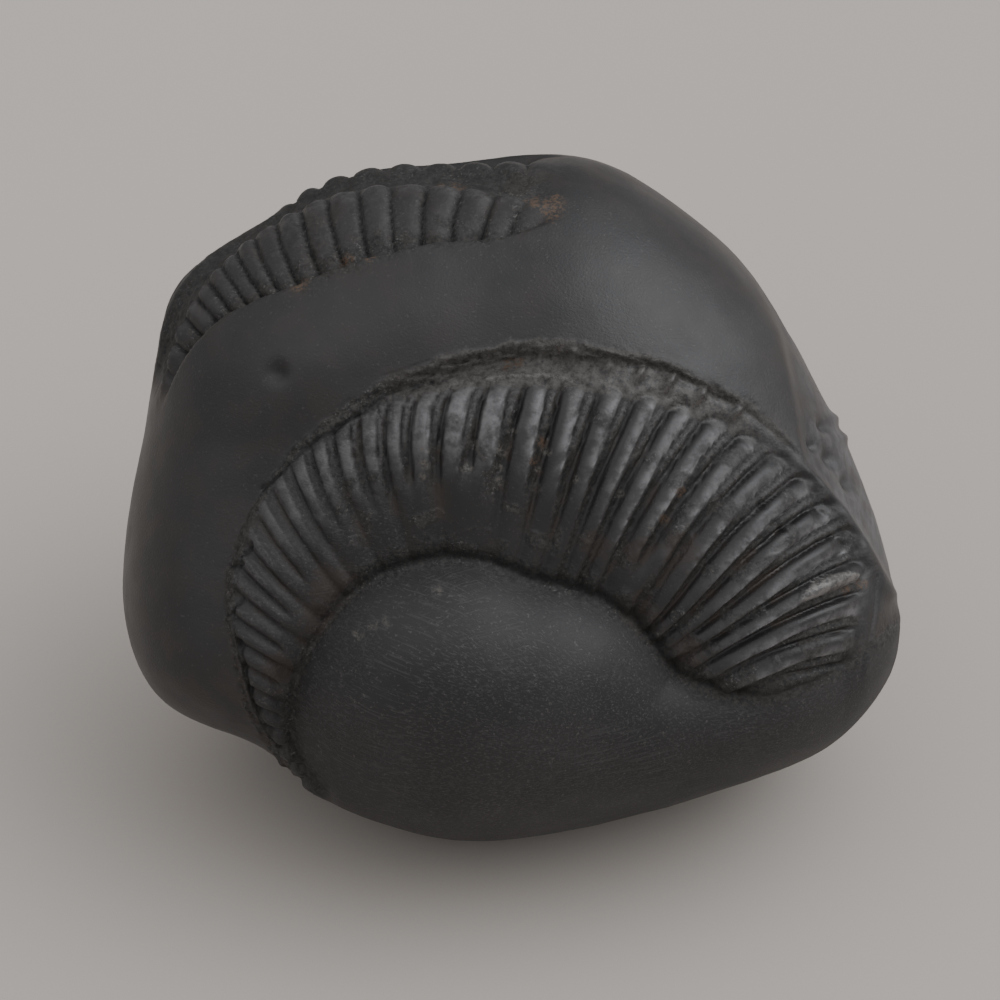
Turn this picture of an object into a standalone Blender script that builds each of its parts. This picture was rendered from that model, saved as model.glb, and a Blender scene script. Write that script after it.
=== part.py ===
"""Shaligram stone: a black water-worn stone that an ammonite shows through.

The stone is first described facing the reader, in millimetres: x to the right, y up the face and
z out of it.  A smooth worn pebble comes first.  The face is then shaped in polar places about the
middle of the fossil: a smooth boss, a ribbed whorl around it, a ledge, the worn back of the stone
and a second ribbed strip along its top edge.  Last, the stone is tipped back and cut flat below.
"""
import math

import bmesh
import bpy
import numpy as np
from mathutils import Matrix

MM = 0.001                    # metres in a millimetre
DEG = math.pi / 180.0

# ---- driving dimensions, in millimetres and degrees -------------------------------------------
FRONT_DEPTH = 38.0            # from the middle of the stone out to its face
BACK_DEPTH = 36.0             # from the middle of the stone to its back
BACK_SAG = 0.16               # share by which the back is fuller low down than high up
ROUNDNESS = 2.35              # exponent of the outline across the stone: 2 is an ellipse
LEAN_BACK = 42.0              # how far the face is tipped up from level
EYE_DISTANCE = 650.0          # the face is laid out as seen from this far off
REST_HEIGHT = 43.6            # from the flat that it rests on up to the middle of the stone
TRIANGLES = 9600              # facets kept in the finished solid
FINE_EDGE = 0.7               # longest edge before facets are collapsed, where there is detail
COARSE_EDGE = 2.2             # and elsewhere
MARGIN = 2.0                  # the short edges reach this far past the detail
REFINEMENTS = 3               # times that long edges are halved

# Outline of the stone seen square to its face: angle, distance from the middle.
OUTLINE = (
    (0, 51.1), (5, 49.1), (10, 47.7), (20, 46.6), (30, 47.2), (40, 47.5), (50, 48.4), (60, 48.7),
    (70, 49.8), (77, 50.0), (85, 49.0), (95, 48.0), (103, 48.8), (110, 50.6), (120, 52.5),
    (128, 52.9), (135, 54.5), (141, 56.6), (147, 58.2), (153, 57.2), (160, 55.1), (168, 53.6),
    (178, 54.1), (188, 55.4), (196, 57.1), (203, 57.6), (209, 57.6), (215, 54.5), (221, 50.4),
    (228, 49.0), (238, 50.8), (250, 50.1), (260, 50.1), (270, 49.2), (280, 48.3), (292, 48.1),
    (305, 50.1), (315, 54.0), (323, 57.8), (330, 59.1), (336, 60.2), (342, 59.0), (350, 55.6),
)

# ---- the fossil, in polar places about its middle ---------------------------------------------
FOSSIL_X = -2.9
FOSSIL_Y = -27.1
WHORL_START = -3.0            # the whorl comes out from under the stone at this angle
START_SLANT = 0.33            # degrees that this edge swings up for each millimetre outward
WHORL_END = (208.0, 218.0)    # it goes under the stone's lower left edge between these
WHORL_BELOW = (-75.0, -45.0)  # and the boss's foot is no longer sunk below between these

# Seam at the foot of the ribs, and so the edge of the boss.
SEAM = (
    (-60, 24.0), (-6, 30.0), (-3, 29.0), (-1, 28.2), (2, 27.0), (6, 25.6), (10, 24.6),
    (15, 23.7), (20, 22.9), (30, 21.4), (40, 19.5), (50, 18.0), (60, 16.7), (70, 16.2),
    (80, 16.6), (90, 17.5), (105, 18.9), (120, 20.4), (135, 22.4), (150, 24.2), (165, 25.8),
    (180, 27.9), (195, 28.7), (210, 27.5), (225, 27.0),
)
# Where the boss's lip covers the whorl's two ends, running in to the seam and out again: x, y.
START_LIP = (
    (75.0, -2.0), (48.6, -23.6), (45.5, -25.4), (41.4, -27.1), (38.0, -28.3), (35.7, -28.6),
    (32.9, -28.6), (30.0, -28.0), (27.6, -27.0),
)
END_LIP = ((-25.0, -46.0), (-22.0, -90.0))
# Shoulder, where the ribs end.
SHOULDER = (
    (-10, 49.0), (3, 50.3), (6, 50.8), (12, 52.5), (17, 55.0), (22, 55.6), (28, 54.3), (35, 52.5),
    (46, 50.2), (58, 47.4), (69, 45.1), (80, 43.8), (95, 43.2), (115, 42.9), (135, 42.8),
    (145, 40.9), (155, 40.0), (165, 37.9), (175, 35.1), (185, 33.1), (195, 30.9), (215, 29.5),
)
# Ledge, where the worn stone begins again.
LEDGE = (
    (-10, 51.5), (3, 52.8), (10, 55.5), (17, 57.6), (25, 57.0), (35, 55.3), (45, 54.5), (50, 53.8),
    (53, 53.0), (57, 52.9), (61.5, 52.4), (65, 51.5), (68, 50.4), (71, 49.4), (78, 48.4),
    (85, 47.7), (88, 47.1), (93.5, 46.3), (99, 45.1), (107, 44.7), (112, 44.2), (118, 43.6),
    (130, 43.4), (145, 41.6), (155, 40.4), (165, 38.2), (175, 35.6), (185, 33.6), (195, 31.4),
    (215, 30.0),
)
# How far the seam lies below the smooth pebble.
SEAM_DEPTH = ((-10, 7.2), (150, 7.2), (175, 6.4), (190, 5.0), (215, 3.6))
SHOULDER_DROP = 0.9           # and the highest part of the flank this far
SHOULDER_ROLL = 1.3           # how far the flank rolls down again to its shoulder,
ROLL_FROM = 0.50              # from this share of the way up
BOSS_RISE = 1.3               # the top of the boss stands this far above the pebble
BOSS_EDGE = 2.8               # how late the boss turns down to the seam: 2 is evenly round
BOSS_REACH = 22.0             # how far in from the seam it starts to turn down
FLANK_STEEPNESS = 1.6         # 1 is an even slope from the shoulder down to the seam
FACE_EDGE = (-6.0, 3.0)       # the face's forms fade out round the edge, between these depths

# Foot of the ledge below the worn stone, and how wide its face is.
LEDGE_DROP = (
    (-10, 1.2), (10, 0.9), (25, 0.8), (40, 0.9), (50, 1.1), (60, 1.6), (70, 2.4), (80, 3.3),
    (95, 3.8), (110, 3.2), (130, 2.2), (150, 1.8), (175, 1.5), (215, 1.2),
)
LEDGE_WIDTH = (
    (-10, 1.0), (45, 0.9), (54, 1.1), (58, 0.8), (65, 0.8), (69, 1.6), (72, 2.7), (80, 2.8),
    (86, 2.3), (92, 2.0), (98, 2.8), (105, 3.0), (111, 2.1), (118, 1.6), (130, 1.2), (215, 0.9),
)
# How far the lip of the worn stone rolls down to the ledge.
LIP_ROLL = (
    (-10, 0.0), (50, 0.2), (75, 0.8), (95, 1.4), (115, 2.6), (135, 3.4), (160, 2.8), (185, 1.6),
    (215, 0.5),
)
LIP_REACH = 8.0

# Ribs: angle of each rib at the shoulder, counted from the lower left.
RIB_ANGLES = (
    208, 203, 197.5, 192, 186, 181.5, 177, 172, 167, 162, 156.5, 152, 147, 141, 135, 129.5, 124.5,
    119, 113, 107.5, 101, 94, 87.3, 80.5, 73.7, 66.9, 60.6, 54.8, 49, 43.3, 37.7, 32.5, 27.3, 22,
    17.5, 12.7, 7.2, 1.8, -3.5,
)
# How far a rib's foot lies ahead of its head: angle at the foot, lean.
RIB_LEAN = (
    (-10, -13), (0, -13), (12, -14), (17, -16.5), (25, -17), (31, -16.5), (41, -11.5), (51, -9),
    (66, -4.5), (72, -1.5), (78, 1.5), (84, 3.4), (97, 8.5), (109, 13), (121, 12), (141, 11),
    (164, 9), (185, 5), (215, 2),
)
# Ribs that share one foot at the seam, counted along the whorl.
RIB_GROUPS = (2, 2, 2, 2, 2, 2, 2, 1, 2, 2, 2, 2, 1, 1, 1, 1, 1, 2, 1, 1, 2, 2, 1, 1, 1)
# Where such ribs join on the way down, from 0 at the seam to 1 at the shoulder.
RIB_FORK = ((-10, 0.10), (20, 0.16), (45, 0.28), (65, 0.42), (90, 0.52), (120, 0.50), (160, 0.40),
            (215, 0.3))
RIB_HEIGHT = 1.5
RIB_CREST = 0.43              # place of the crest across a rib's head, 0.5 being the middle
# How a rib bends: 1 is straight, more bends it near its foot and less near its head.
RIB_BEND = ((-10, 2.1), (62, 2.1), (74, 1.2), (84, 0.6), (100, 0.6), (118, 0.9), (215, 1.1))
RIB_ROUNDS = (0.55, 0.80)     # where ribs turn from sharp to round, from seam to shoulder
RIB_FEET = np.cumsum((0,) + RIB_GROUPS) - RIB_CREST
# A rib across, from the groove before it to the groove after it: place, height.  Low down it rises
# round and falls sharply; near its head a second, broken ridge lies in the groove; on the left it
# is worn round all over.
RIB_LOW = ((0.0, 0.0), (0.06, 0.24), (0.14, 0.46), (0.24, 0.66), (0.36, 0.84), (0.48, 0.96),
           (0.58, 1.0), (0.65, 0.96), (0.69, 0.80), (0.73, 0.38), (0.78, 0.16), (0.90, 0.06),
           (1.0, 0.0))
RIB_HIGH = ((0.0, 0.0), (0.04, 0.42), (0.10, 0.76), (0.18, 0.94), (0.27, 1.0), (0.38, 0.97),
            (0.50, 0.87), (0.60, 0.70), (0.64, 0.36), (0.68, 0.42), (0.78, 0.66), (0.86, 0.60),
            (0.94, 0.30), (1.0, 0.0))
RIB_WORN = ((0.0, 0.0), (0.07, 0.22), (0.16, 0.50), (0.28, 0.78), (0.42, 0.96), (0.52, 1.0),
            (0.64, 0.95), (0.76, 0.78), (0.86, 0.52), (0.94, 0.22), (1.0, 0.0))
RIB_WORN_FROM = (112.0, 146.0)        # worn round right up to the head past these angles,
LOW_WORN_FROM = (52.0, 72.0)          # and low down past these,
LOW_WORN = (0.35, 0.60)               # which is as far up as this
RIB_LEVEL = 0.45              # height in these profiles that lies at the flank's own level
# How high the ribs stand near their heads, and what share of that is left at the seam; between
# those two places on the way up they grow.
RIB_STRENGTH = ((-10, 1.0), (100, 1.0), (120, 0.75), (135, 0.60), (150, 0.60), (180, 0.75),
                (215, 0.75))
RIB_GROWS = (0.1, 0.6)
RIB_FOOT = ((-10, 0.80), (40, 0.80), (55, 0.60), (70, 0.40), (110, 0.35), (130, 0.55), (150, 0.85),
            (165, 1.0), (215, 1.0))

# Tips of the far row of ribs that stand out of the ledge: angle, distance.
TIPS = ((81.5, 48.5), (76, 49.0), (70, 49.4), (64.7, 50.0), (59.7, 51.2), (54.5, 51.8),
        (48.6, 53.0))
TIP_HEIGHT = 1.2
TIP_LENGTH = 1.9
TIP_WIDTH = 0.9

# ---- the second strip, in angles about the middle of the stone --------------------------------
# Its lower ledge and its shoulder: angle, distance from the middle as seen square to the face.
STRIP_LEDGE = ((78, 41.2), (88, 38.4), (96.5, 38.0), (105, 38.9), (117, 40.1), (127, 42.4),
               (135, 44.2), (141.5, 47.2), (150.6, 50.6), (160.4, 52.0), (168, 52.4))
STRIP_SHOULDER = ((78, 42.2), (86, 41.8), (93.8, 43.4), (99.2, 44.6), (104.3, 46.1), (109.4, 47.4),
                  (114.3, 48.6), (119.3, 50.1), (124, 51.1), (128, 51.9), (132, 52.7),
                  (136.6, 53.4), (144.4, 53.9), (150, 53.9), (160, 53.2), (168, 52.9))
STRIP_START = 82.0
STRIP_END = 163.0
STRIP_GROOVES = (81.5, 87, 92.9, 98.9, 104.9, 110.6, 116.1, 121.2, 125.8, 130.1, 134, 137.5, 140.7,
                 143.8, 147.1, 150.8, 155, 159.5, 164)
STRIP_LEAN = ((78, 3.5), (135, 4.4), (141, 2.4), (165, 1.5))
STRIP_KEEL = 10.5             # degrees over the edge from the near shoulder to the far one
STRIP_FAR = 11.0              # degrees that the far ribs run on, down the back
STRIP_SINK = 1.9              # depth of the strip below the worn stone at its ledges
STRIP_RIB = 1.0
FAR_RIB = 1.5                 # the far row stands higher, as far as this angle
FAR_RIB_END = 128.0
KEEL_SINK = 1.1
STRIP_FULLNESS = 0.45         # 1 is a plain wave, and less makes ribs broad and grooves narrow

# ---- small worn forms --------------------------------------------------------------------------
# Oval marks on the face: x, y, half length, half width, slant, height.
MARKS = (
    (-33.3, 18.3, 1.5, 1.5, 0, -0.9),             # dimple at the upper left
    (44.9, 10.7, 1.1, 0.6, -62, -1.0),            # pits in the worn facet at the right
    (43.6, 8.0, 1.1, 0.6, -62, -1.0),
    (45.9, 6.2, 1.9, 0.7, -62, -1.2),
    (48.4, 2.7, 1.6, 0.6, -62, -1.0),
    (46.2, 11.6, 0.9, 0.9, 0, 0.6),               # knobs on the edge beside them
    (47.4, 8.8, 0.9, 0.9, 0, 0.6),
    (44.2, -1.8, 1.8, 1.2, 35, -0.7),             # chips out of the last ribs
    (47.1, -6.7, 1.9, 1.4, 40, -0.6),
    (45.0, -11.9, 4.3, 1.1, 24, 0.7),             # flake left standing on one of them
    (29.5, 15.2, 2.3, 0.7, -27, -0.6),            # what is left of the ledge further on
    (34.3, 12.9, 1.8, 0.6, -42, -0.6),
)
# Crisp ridge between the face and the worn facet at the right.
RIDGE = ((33.0, 33.5), (37.6, 24.0), (40.0, 12.0), (41.0, 5.0), (43.6, 2.1), (47.1, -2.1),
         (50.0, -6.4), (52.1, -10.0), (54.3, -13.6))
RIDGE_HEIGHT = 0.7
RIDGE_WIDTH = 1.1
RIDGE_TOP = (2.0, 10.0)       # heights up the face between which the ridge dies away
FACET_DEPTH = 0.7
FACET_REACH = 7.0             # how far the facet runs out from the ridge
FACET_FOOT = (-17.0, -12.0)   # heights between which it starts, and between which it ends
FACET_TOP = (24.0, 34.0)
# Long soft hollows and swellings all over the stone: direction, phase, height.
SWELLS = (
    (3.1, 1.7, -2.2, 0.4, 0.40), (-1.6, 4.2, 2.7, 1.9, 0.30), (5.3, -2.9, 3.8, 3.3, 0.18),
    (2.4, 6.1, -5.2, 5.1, 0.16), (-7.7, 4.6, 6.4, 2.6, 0.08), (8.3, 7.9, 5.1, 4.4, 0.07),
)

STONE_BLACK = (0.016, 0.016, 0.0175, 1.0)


def smooth_step(low, high, value):
    """Ease from 0 at low to 1 at high."""
    part = np.clip((value - low) / (high - low), 0.0, 1.0)
    return part * part * (3.0 - 2.0 * part)


def mixed(first, last, share):
    """From first where share is 0 to last where it is 1."""
    return first + (last - first) * share


def blurred(places, values, reach):
    """Round the corners of a line given at even steps."""
    step = places[1] - places[0]
    half = int(math.ceil(3.0 * reach / step))
    weights = np.exp(-0.5 * (np.arange(-half, half + 1) * step / reach) ** 2)
    padded = np.pad(values, half, mode="edge")
    return np.convolve(padded, weights / weights.sum(), mode="valid")


def curve(pairs, reach):
    """A smooth function of angle through a few (angle, value) pairs, worked out once."""
    angles, values = np.array(pairs, float).T
    steps = np.arange(-400.0, 760.0, 0.5)
    line = blurred(steps, np.interp(steps, angles, values), reach)
    return lambda angle: np.interp(angle, steps, line)


def closed_curve(pairs, reach):
    """As curve, for an outline that runs right round."""
    turns = [(angle + turn, value) for turn in (-360, 0, 360) for angle, value in pairs]
    return curve(turns, reach)


outline_at = closed_curve(OUTLINE, 3.5)
seam_at = closed_curve(SEAM, 2.5)
seam_depth_at = curve(SEAM_DEPTH, 6.0)
shoulder_at = curve(SHOULDER, 3.0)
ledge_at = curve(LEDGE, 2.5)
ledge_drop_at = curve(LEDGE_DROP, 5.0)
ledge_width_at = curve(LEDGE_WIDTH, 5.0)
lip_roll_at = curve(LIP_ROLL, 6.0)
rib_lean_at = curve(RIB_LEAN, 6.0)
rib_bend_at = curve(RIB_BEND, 4.0)
rib_fork_at = curve(RIB_FORK, 6.0)
rib_strength_at = curve(RIB_STRENGTH, 6.0)
rib_foot_at = curve(RIB_FOOT, 6.0)
strip_lean_at = curve(STRIP_LEAN, 2.0)


# ---- the worn pebble ---------------------------------------------------------------------------
def pebble(way):
    """Point of the smooth pebble in each direction from its middle."""
    across = np.hypot(way[:, 0], way[:, 1])
    angle = np.degrees(np.arctan2(way[:, 1], way[:, 0]))
    back = BACK_DEPTH * (1.0 - BACK_SAG * way[:, 1])
    depth = np.where(way[:, 2] > 0.0, FRONT_DEPTH, back)
    wide = (across / outline_at(angle)) ** ROUNDNESS
    deep = (np.abs(way[:, 2]) / depth) ** ROUNDNESS
    return way * ((wide + deep) ** (-1.0 / ROUNDNESS))[:, None]


def pebble_normal(way):
    """Outward direction of the smooth pebble's surface."""
    helper = np.where(np.abs(way[:, 2:3]) < 0.9, [[0.0, 0.0, 1.0]], [[1.0, 0.0, 0.0]])
    side = np.cross(helper, way)
    side /= np.linalg.norm(side, axis=1)[:, None]
    up = np.cross(way, side)
    nudge = 0.02
    spread = [pebble(unit(way + nudge * step)) for step in (side, -side, up, -up)]
    return unit(np.cross(spread[0] - spread[1], spread[2] - spread[3]))


def unit(rows):
    """Rows made one long."""
    return rows / np.linalg.norm(rows, axis=1)[:, None]


def seen_from_front(points):
    """Where points of the stone appear to an eye in front of its face."""
    return points[:, :2] * (EYE_DISTANCE / (EYE_DISTANCE - points[:, 2:3]))


def edge_angle(angle, distance):
    """How far round from the face a place lies, given as it is seen from the front."""
    turns = np.linspace(20.0, 90.0, 141)
    result = []
    for place, reach in zip(np.atleast_1d(angle), np.atleast_1d(distance)):
        way = np.stack((np.sin(turns * DEG) * math.cos(place * DEG),
                        np.sin(turns * DEG) * math.sin(place * DEG),
                        np.cos(turns * DEG)), axis=1)
        seen = np.linalg.norm(seen_from_front(pebble(way)), axis=1)
        result.append(np.interp(reach, np.maximum.accumulate(seen), turns))
    return np.array(result)


def edge_curve(pairs, reach):
    """A line along the top edge, as how far round from the face it lies at each angle."""
    angles, distances = np.array(pairs, float).T
    return curve(list(zip(angles, edge_angle(angles, distances))), reach)


strip_ledge_at = edge_curve(STRIP_LEDGE, 2.5)
strip_shoulder_at = edge_curve(STRIP_SHOULDER, 2.5)


# ---- the large forms of the face ---------------------------------------------------------------
def fossil_polar(seen):
    """Angle and distance about the middle of the fossil, the angle from -152 to 208."""
    x = seen[:, 0] - FOSSIL_X
    y = seen[:, 1] - FOSSIL_Y
    angle = np.degrees(np.arctan2(y, x))
    return np.where(angle < -140.0, angle + 360.0, angle), np.hypot(x, y)


def seam_line():
    """The boss's border as points x, y: its lip over the whorl's start, then the seam."""
    turns = np.arange(4.0, 216.0, 4.0)
    reach = seam_at(turns)
    seam = zip(FOSSIL_X + reach * np.cos(turns * DEG), FOSSIL_Y + reach * np.sin(turns * DEG))
    return list(START_LIP) + list(seam) + list(END_LIP)


def left_of_line(seen, line):
    """Distance from a line of points, positive on the left of someone walking along it."""
    best = np.full(len(seen), 1e9)
    side = np.zeros(len(seen))
    for start, end in zip(line[:-1], line[1:]):
        first = np.array(start)
        run = np.array(end) - first
        share = np.clip(((seen - first) @ run) / (run @ run), 0.0, 1.0)
        gap = seen - (first + share[:, None] * run)
        reach = np.hypot(gap[:, 0], gap[:, 1])
        nearer = reach < best
        best = np.where(nearer, reach, best)
        side = np.where(nearer, np.sign(gap[:, 1] * run[0] - gap[:, 0] * run[1]), side)
    return side * best


def face_places(seen):
    """Angle and distance about the fossil, distance outside the boss, and share of the whorl."""
    angle, distance = fossil_polar(seen)
    gap = -left_of_line(seen, seam_line())
    share = smooth_step(*WHORL_BELOW, angle) * (1.0 - smooth_step(*WHORL_END, angle))
    start = WHORL_START + START_SLANT * np.clip(distance - 36.0, 0.0, 16.0)
    along = np.maximum(angle, start)
    return along, distance, gap, share


def face_relief(angle, distance, gap, share):
    """Height of the large forms over the pebble, towards the eye."""
    seam = seam_at(angle)
    shoulder = shoulder_at(angle)
    ledge = ledge_at(angle)

    up = np.clip((distance - seam) / (shoulder - seam), 0.0, 1.0)
    slope = (1.0 - up) ** FLANK_STEEPNESS
    roll = SHOULDER_ROLL * ((up - ROLL_FROM).clip(0.0) / (1.0 - ROLL_FROM)) ** 2
    flank = -SHOULDER_DROP - (seam_depth_at(angle) - SHOULDER_DROP) * slope - roll
    foot = ledge_drop_at(angle)
    along = smooth_step(shoulder, ledge, distance)
    head = SHOULDER_DROP + SHOULDER_ROLL
    venter = -head - (foot - head) * along

    lip = lip_roll_at(angle) * np.exp(-((distance - ledge) / LIP_REACH).clip(0.0) ** 2)
    rise = smooth_step(ledge - 0.3, ledge + ledge_width_at(angle), distance)
    worn = -lip * rise - foot * (1.0 - rise)

    outside = np.where(distance < shoulder, flank, np.where(distance < ledge, venter, worn))
    turn_down = np.clip(1.0 + gap / BOSS_REACH, 0.0, 1.0) ** BOSS_EDGE
    boss = BOSS_RISE - (BOSS_RISE - share * outside) * turn_down
    return np.where(gap < 0.0, boss, share * outside)


# ---- ribs --------------------------------------------------------------------------------------
def across(profile, steps):
    """Height across one rib after another, one to each whole step."""
    places, heights = np.array(profile).T
    return np.interp(steps - np.floor(steps), places, heights)


def rib_places(angle, distance):
    """Share of the way up the flank, steps along the heads and the feet, and which of them rule."""
    seam = seam_at(angle)
    up = (distance - seam) / (shoulder_at(angle) - seam)
    lean = rib_lean_at(angle) * (1.0 - np.clip(up, 0.0, 1.0)) ** rib_bend_at(angle)
    phase = np.interp(lean - angle, -np.array(RIB_ANGLES, float), np.arange(len(RIB_ANGLES)))
    feet = np.interp(phase, RIB_FEET, np.arange(len(RIB_FEET)))
    fork = rib_fork_at(angle)
    return up, phase + RIB_CREST, feet, smooth_step(fork - 0.14, fork + 0.12, up)


def rib_relief(angle, distance, gap, share):
    """Height of the whorl's ribs, along the pebble's outward direction."""
    up, phase, feet, single = rib_places(angle, distance)
    upper = mixed(across(RIB_LOW, phase), across(RIB_HIGH, phase), smooth_step(*RIB_ROUNDS, up))
    crisp = mixed(across(RIB_LOW, feet), upper, single)
    worn = mixed(across(RIB_WORN, feet), across(RIB_WORN, phase), single)
    low_worn = smooth_step(*LOW_WORN_FROM, angle) * (1.0 - smooth_step(*LOW_WORN, up))
    height = mixed(crisp, worn, np.maximum(smooth_step(*RIB_WORN_FROM, angle), low_worn))
    strength = mixed(rib_foot_at(angle), 1.0, smooth_step(*RIB_GROWS, up))
    strength = strength * rib_strength_at(angle)
    ends = smooth_step(0.0, 1.2, gap) * (1.0 - smooth_step(0.94, 1.05, up))
    return RIB_HEIGHT * share * strength * ends * (height - RIB_LEVEL)


def tip_relief(angle, distance):
    """The far ribs' tips, which stand out of the ledge in a row."""
    total = np.zeros_like(angle)
    for place, reach in TIPS:
        along = (angle - place) * DEG * reach / TIP_WIDTH
        out = (distance - reach) / TIP_LENGTH
        total = np.maximum(total, np.clip(1.0 - np.hypot(along, out), 0.0, 1.0))
    return TIP_HEIGHT * total


# ---- the strip along the top edge ---------------------------------------------------------------
def strip_places(way):
    """Angle along the strip, angle out over the edge, share of the strip, and steps along its ribs.

    The last two results run from 0 at a ledge to 1 at a shoulder: the near row's, then the far row's.
    """
    angle = np.degrees(np.arctan2(way[:, 1], way[:, 0]))
    round_way = np.degrees(np.arccos(np.clip(way[:, 2], -1.0, 1.0)))
    ledge = strip_ledge_at(angle)
    shoulder = strip_shoulder_at(angle)
    share = smooth_step(STRIP_START - 3.0, STRIP_START + 9.0, angle)
    share = share * (1.0 - smooth_step(STRIP_END - 6.0, STRIP_END + 3.0, angle))
    near = (round_way - ledge) / np.maximum(shoulder - ledge, 2.0)
    back = (shoulder + STRIP_KEEL + STRIP_FAR - round_way) / STRIP_FAR
    lean = strip_lean_at(angle) * (1.0 - np.clip(near, 0.0, 1.0))
    phase = np.interp(angle - lean, STRIP_GROOVES, np.arange(len(STRIP_GROOVES)))
    return angle, round_way, share, phase, near, back


def strip_relief(way):
    """Height of the second strip: near ribs, a furrow with the keel's two edges, and far ribs."""
    angle, round_way, share, phase, near, back = strip_places(way)
    ledge = strip_ledge_at(angle)
    shoulder = strip_shoulder_at(angle)
    far = shoulder + STRIP_KEEL
    bottom = far + STRIP_FAR
    wave = np.sin(math.pi * (phase - np.floor(phase))) ** STRIP_FULLNESS - 0.5
    ends = smooth_step(-0.05, 0.12, near) * (1.0 - smooth_step(0.96, 1.10, near))
    far_row = smooth_step(-0.05, 0.15, back) * (1.0 - smooth_step(0.92, 1.12, back))
    far_row = far_row * (1.0 - smooth_step(FAR_RIB_END - 4.0, FAR_RIB_END + 4.0, angle))

    inside = smooth_step(ledge - 1.0, ledge + 0.8, round_way)
    inside = inside * (1.0 - smooth_step(bottom - 0.8, bottom + 1.2, round_way))
    crown = smooth_step(ledge, shoulder, round_way) * (1.0 - smooth_step(far, bottom, round_way))
    keel = smooth_step(shoulder, shoulder + 4.0, round_way)
    keel = keel * (1.0 - smooth_step(far - 4.0, far, round_way))
    floor = -STRIP_SINK + (STRIP_SINK - 0.4) * crown - KEEL_SINK * keel
    return share * inside * (floor + (STRIP_RIB * ends + FAR_RIB * far_row) * wave)


# ---- worn facet and small marks ----------------------------------------------------------------
def oval(seen, x, y, long_half, wide_half, slant):
    """1 in the middle of an oval, easing to 0 past its rim."""
    dx = seen[:, 0] - x
    dy = seen[:, 1] - y
    along = dx * math.cos(slant * DEG) + dy * math.sin(slant * DEG)
    out = dy * math.cos(slant * DEG) - dx * math.sin(slant * DEG)
    return np.exp(-((along / long_half) ** 2 + (out / wide_half) ** 2))


def worn_relief(seen):
    """The ridge and facet at the right, and the small oval marks."""
    beside = left_of_line(seen, RIDGE)
    low_end = smooth_step(*FACET_FOOT, seen[:, 1])
    trough = smooth_step(0.3, 2.4, beside) * (1.0 - smooth_step(3.0, FACET_REACH, beside))
    height = -FACET_DEPTH * trough * low_end * (1.0 - smooth_step(*FACET_TOP, seen[:, 1]))
    crest = np.exp(-(beside / RIDGE_WIDTH) ** 2) * (1.0 - smooth_step(*RIDGE_TOP, seen[:, 1]))
    height = height + RIDGE_HEIGHT * crest * low_end
    for x, y, long_half, wide_half, slant, mark in MARKS:
        height = height + mark * oval(seen, x, y, long_half, wide_half, slant)
    return height


def swell_relief(way):
    """Soft unevenness of the worn stone."""
    return sum(height * np.sin(way @ np.array((x, y, z)) + phase)
               for x, y, z, phase, height in SWELLS)


# ---- the whole surface ---------------------------------------------------------------------------
def stone(way):
    """Points of the finished stone in each direction from the middle of the pebble."""
    base = pebble(way)
    normal = pebble_normal(way)
    seen = seen_from_front(base)
    places = face_places(seen)
    front = smooth_step(*FACE_EDGE, base[:, 2])
    to_eye = unit(np.array([[0.0, 0.0, EYE_DISTANCE]]) - base)
    height = rib_relief(*places) + tip_relief(*places[:2]) + worn_relief(seen)
    base = base + to_eye * (front * face_relief(*places))[:, None]
    height = front * height + strip_relief(way) + swell_relief(way)
    return base + normal * height[:, None]


def near_marks(seen):
    """Whether places on the face are on or beside one of the oval marks."""
    total = np.zeros(len(seen))
    for x, y, long_half, wide_half, slant, _ in MARKS:
        total += oval(seen, x, y, long_half + MARGIN, wide_half + MARGIN, slant)
    return total > 0.3


def near_ribs(seen):
    """Whether places on the face are on the ribbed whorl or beside it."""
    angle, distance, gap, share = face_places(seen)
    return (gap > -MARGIN) & (distance < ledge_at(angle) + 2.0 * MARGIN) & (share > 0.0)


def near_strip(way):
    """Whether directions are on the second strip or beside it."""
    place = np.degrees(np.arctan2(way[:, 1], way[:, 0]))
    round_way = np.degrees(np.arccos(np.clip(way[:, 2], -1.0, 1.0)))
    end = strip_shoulder_at(place) + STRIP_KEEL + STRIP_FAR
    inside = (round_way > strip_ledge_at(place) - MARGIN) & (round_way < end + MARGIN)
    return inside & (place > STRIP_START - MARGIN) & (place < STRIP_END + MARGIN)


def edge_limit(way):
    """Longest edge wanted in each direction: short where there are ribs or marks."""
    base = pebble(way)
    seen = seen_from_front(base)
    face = (near_ribs(seen) | near_marks(seen)) & (base[:, 2] > FACE_EDGE[0])
    return np.where(face | near_strip(way), FINE_EDGE, COARSE_EDGE)


def sphere_directions(bm):
    """Direction of every corner of a ball about the middle of the stone."""
    return unit(np.array([vert.co for vert in bm.verts]))


def refined_sphere():
    """A sphere of directions whose edges are short where the stone has detail."""
    bm = bmesh.new()
    bmesh.ops.create_icosphere(bm, subdivisions=5, radius=1.0)
    for _ in range(REFINEMENTS):
        way = sphere_directions(bm)
        points = stone(way)
        limit = edge_limit(way)
        bm.verts.index_update()
        bm.edges.ensure_lookup_table()
        ends = np.array([(edge.verts[0].index, edge.verts[1].index) for edge in bm.edges])
        length = np.linalg.norm(points[ends[:, 0]] - points[ends[:, 1]], axis=1)
        long = np.flatnonzero(length > np.minimum(limit[ends[:, 0]], limit[ends[:, 1]]))
        bmesh.ops.subdivide_edges(bm, edges=[bm.edges[i] for i in long], cuts=1,
                                  use_grid_fill=True)
        bmesh.ops.triangulate(bm, faces=bm.faces[:])
    return bm


def tipped_back():
    """Turn from the face's own axes to the stone's resting place, z up."""
    return Matrix.Rotation((90.0 - LEAN_BACK) * DEG, 4, "X")


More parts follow.
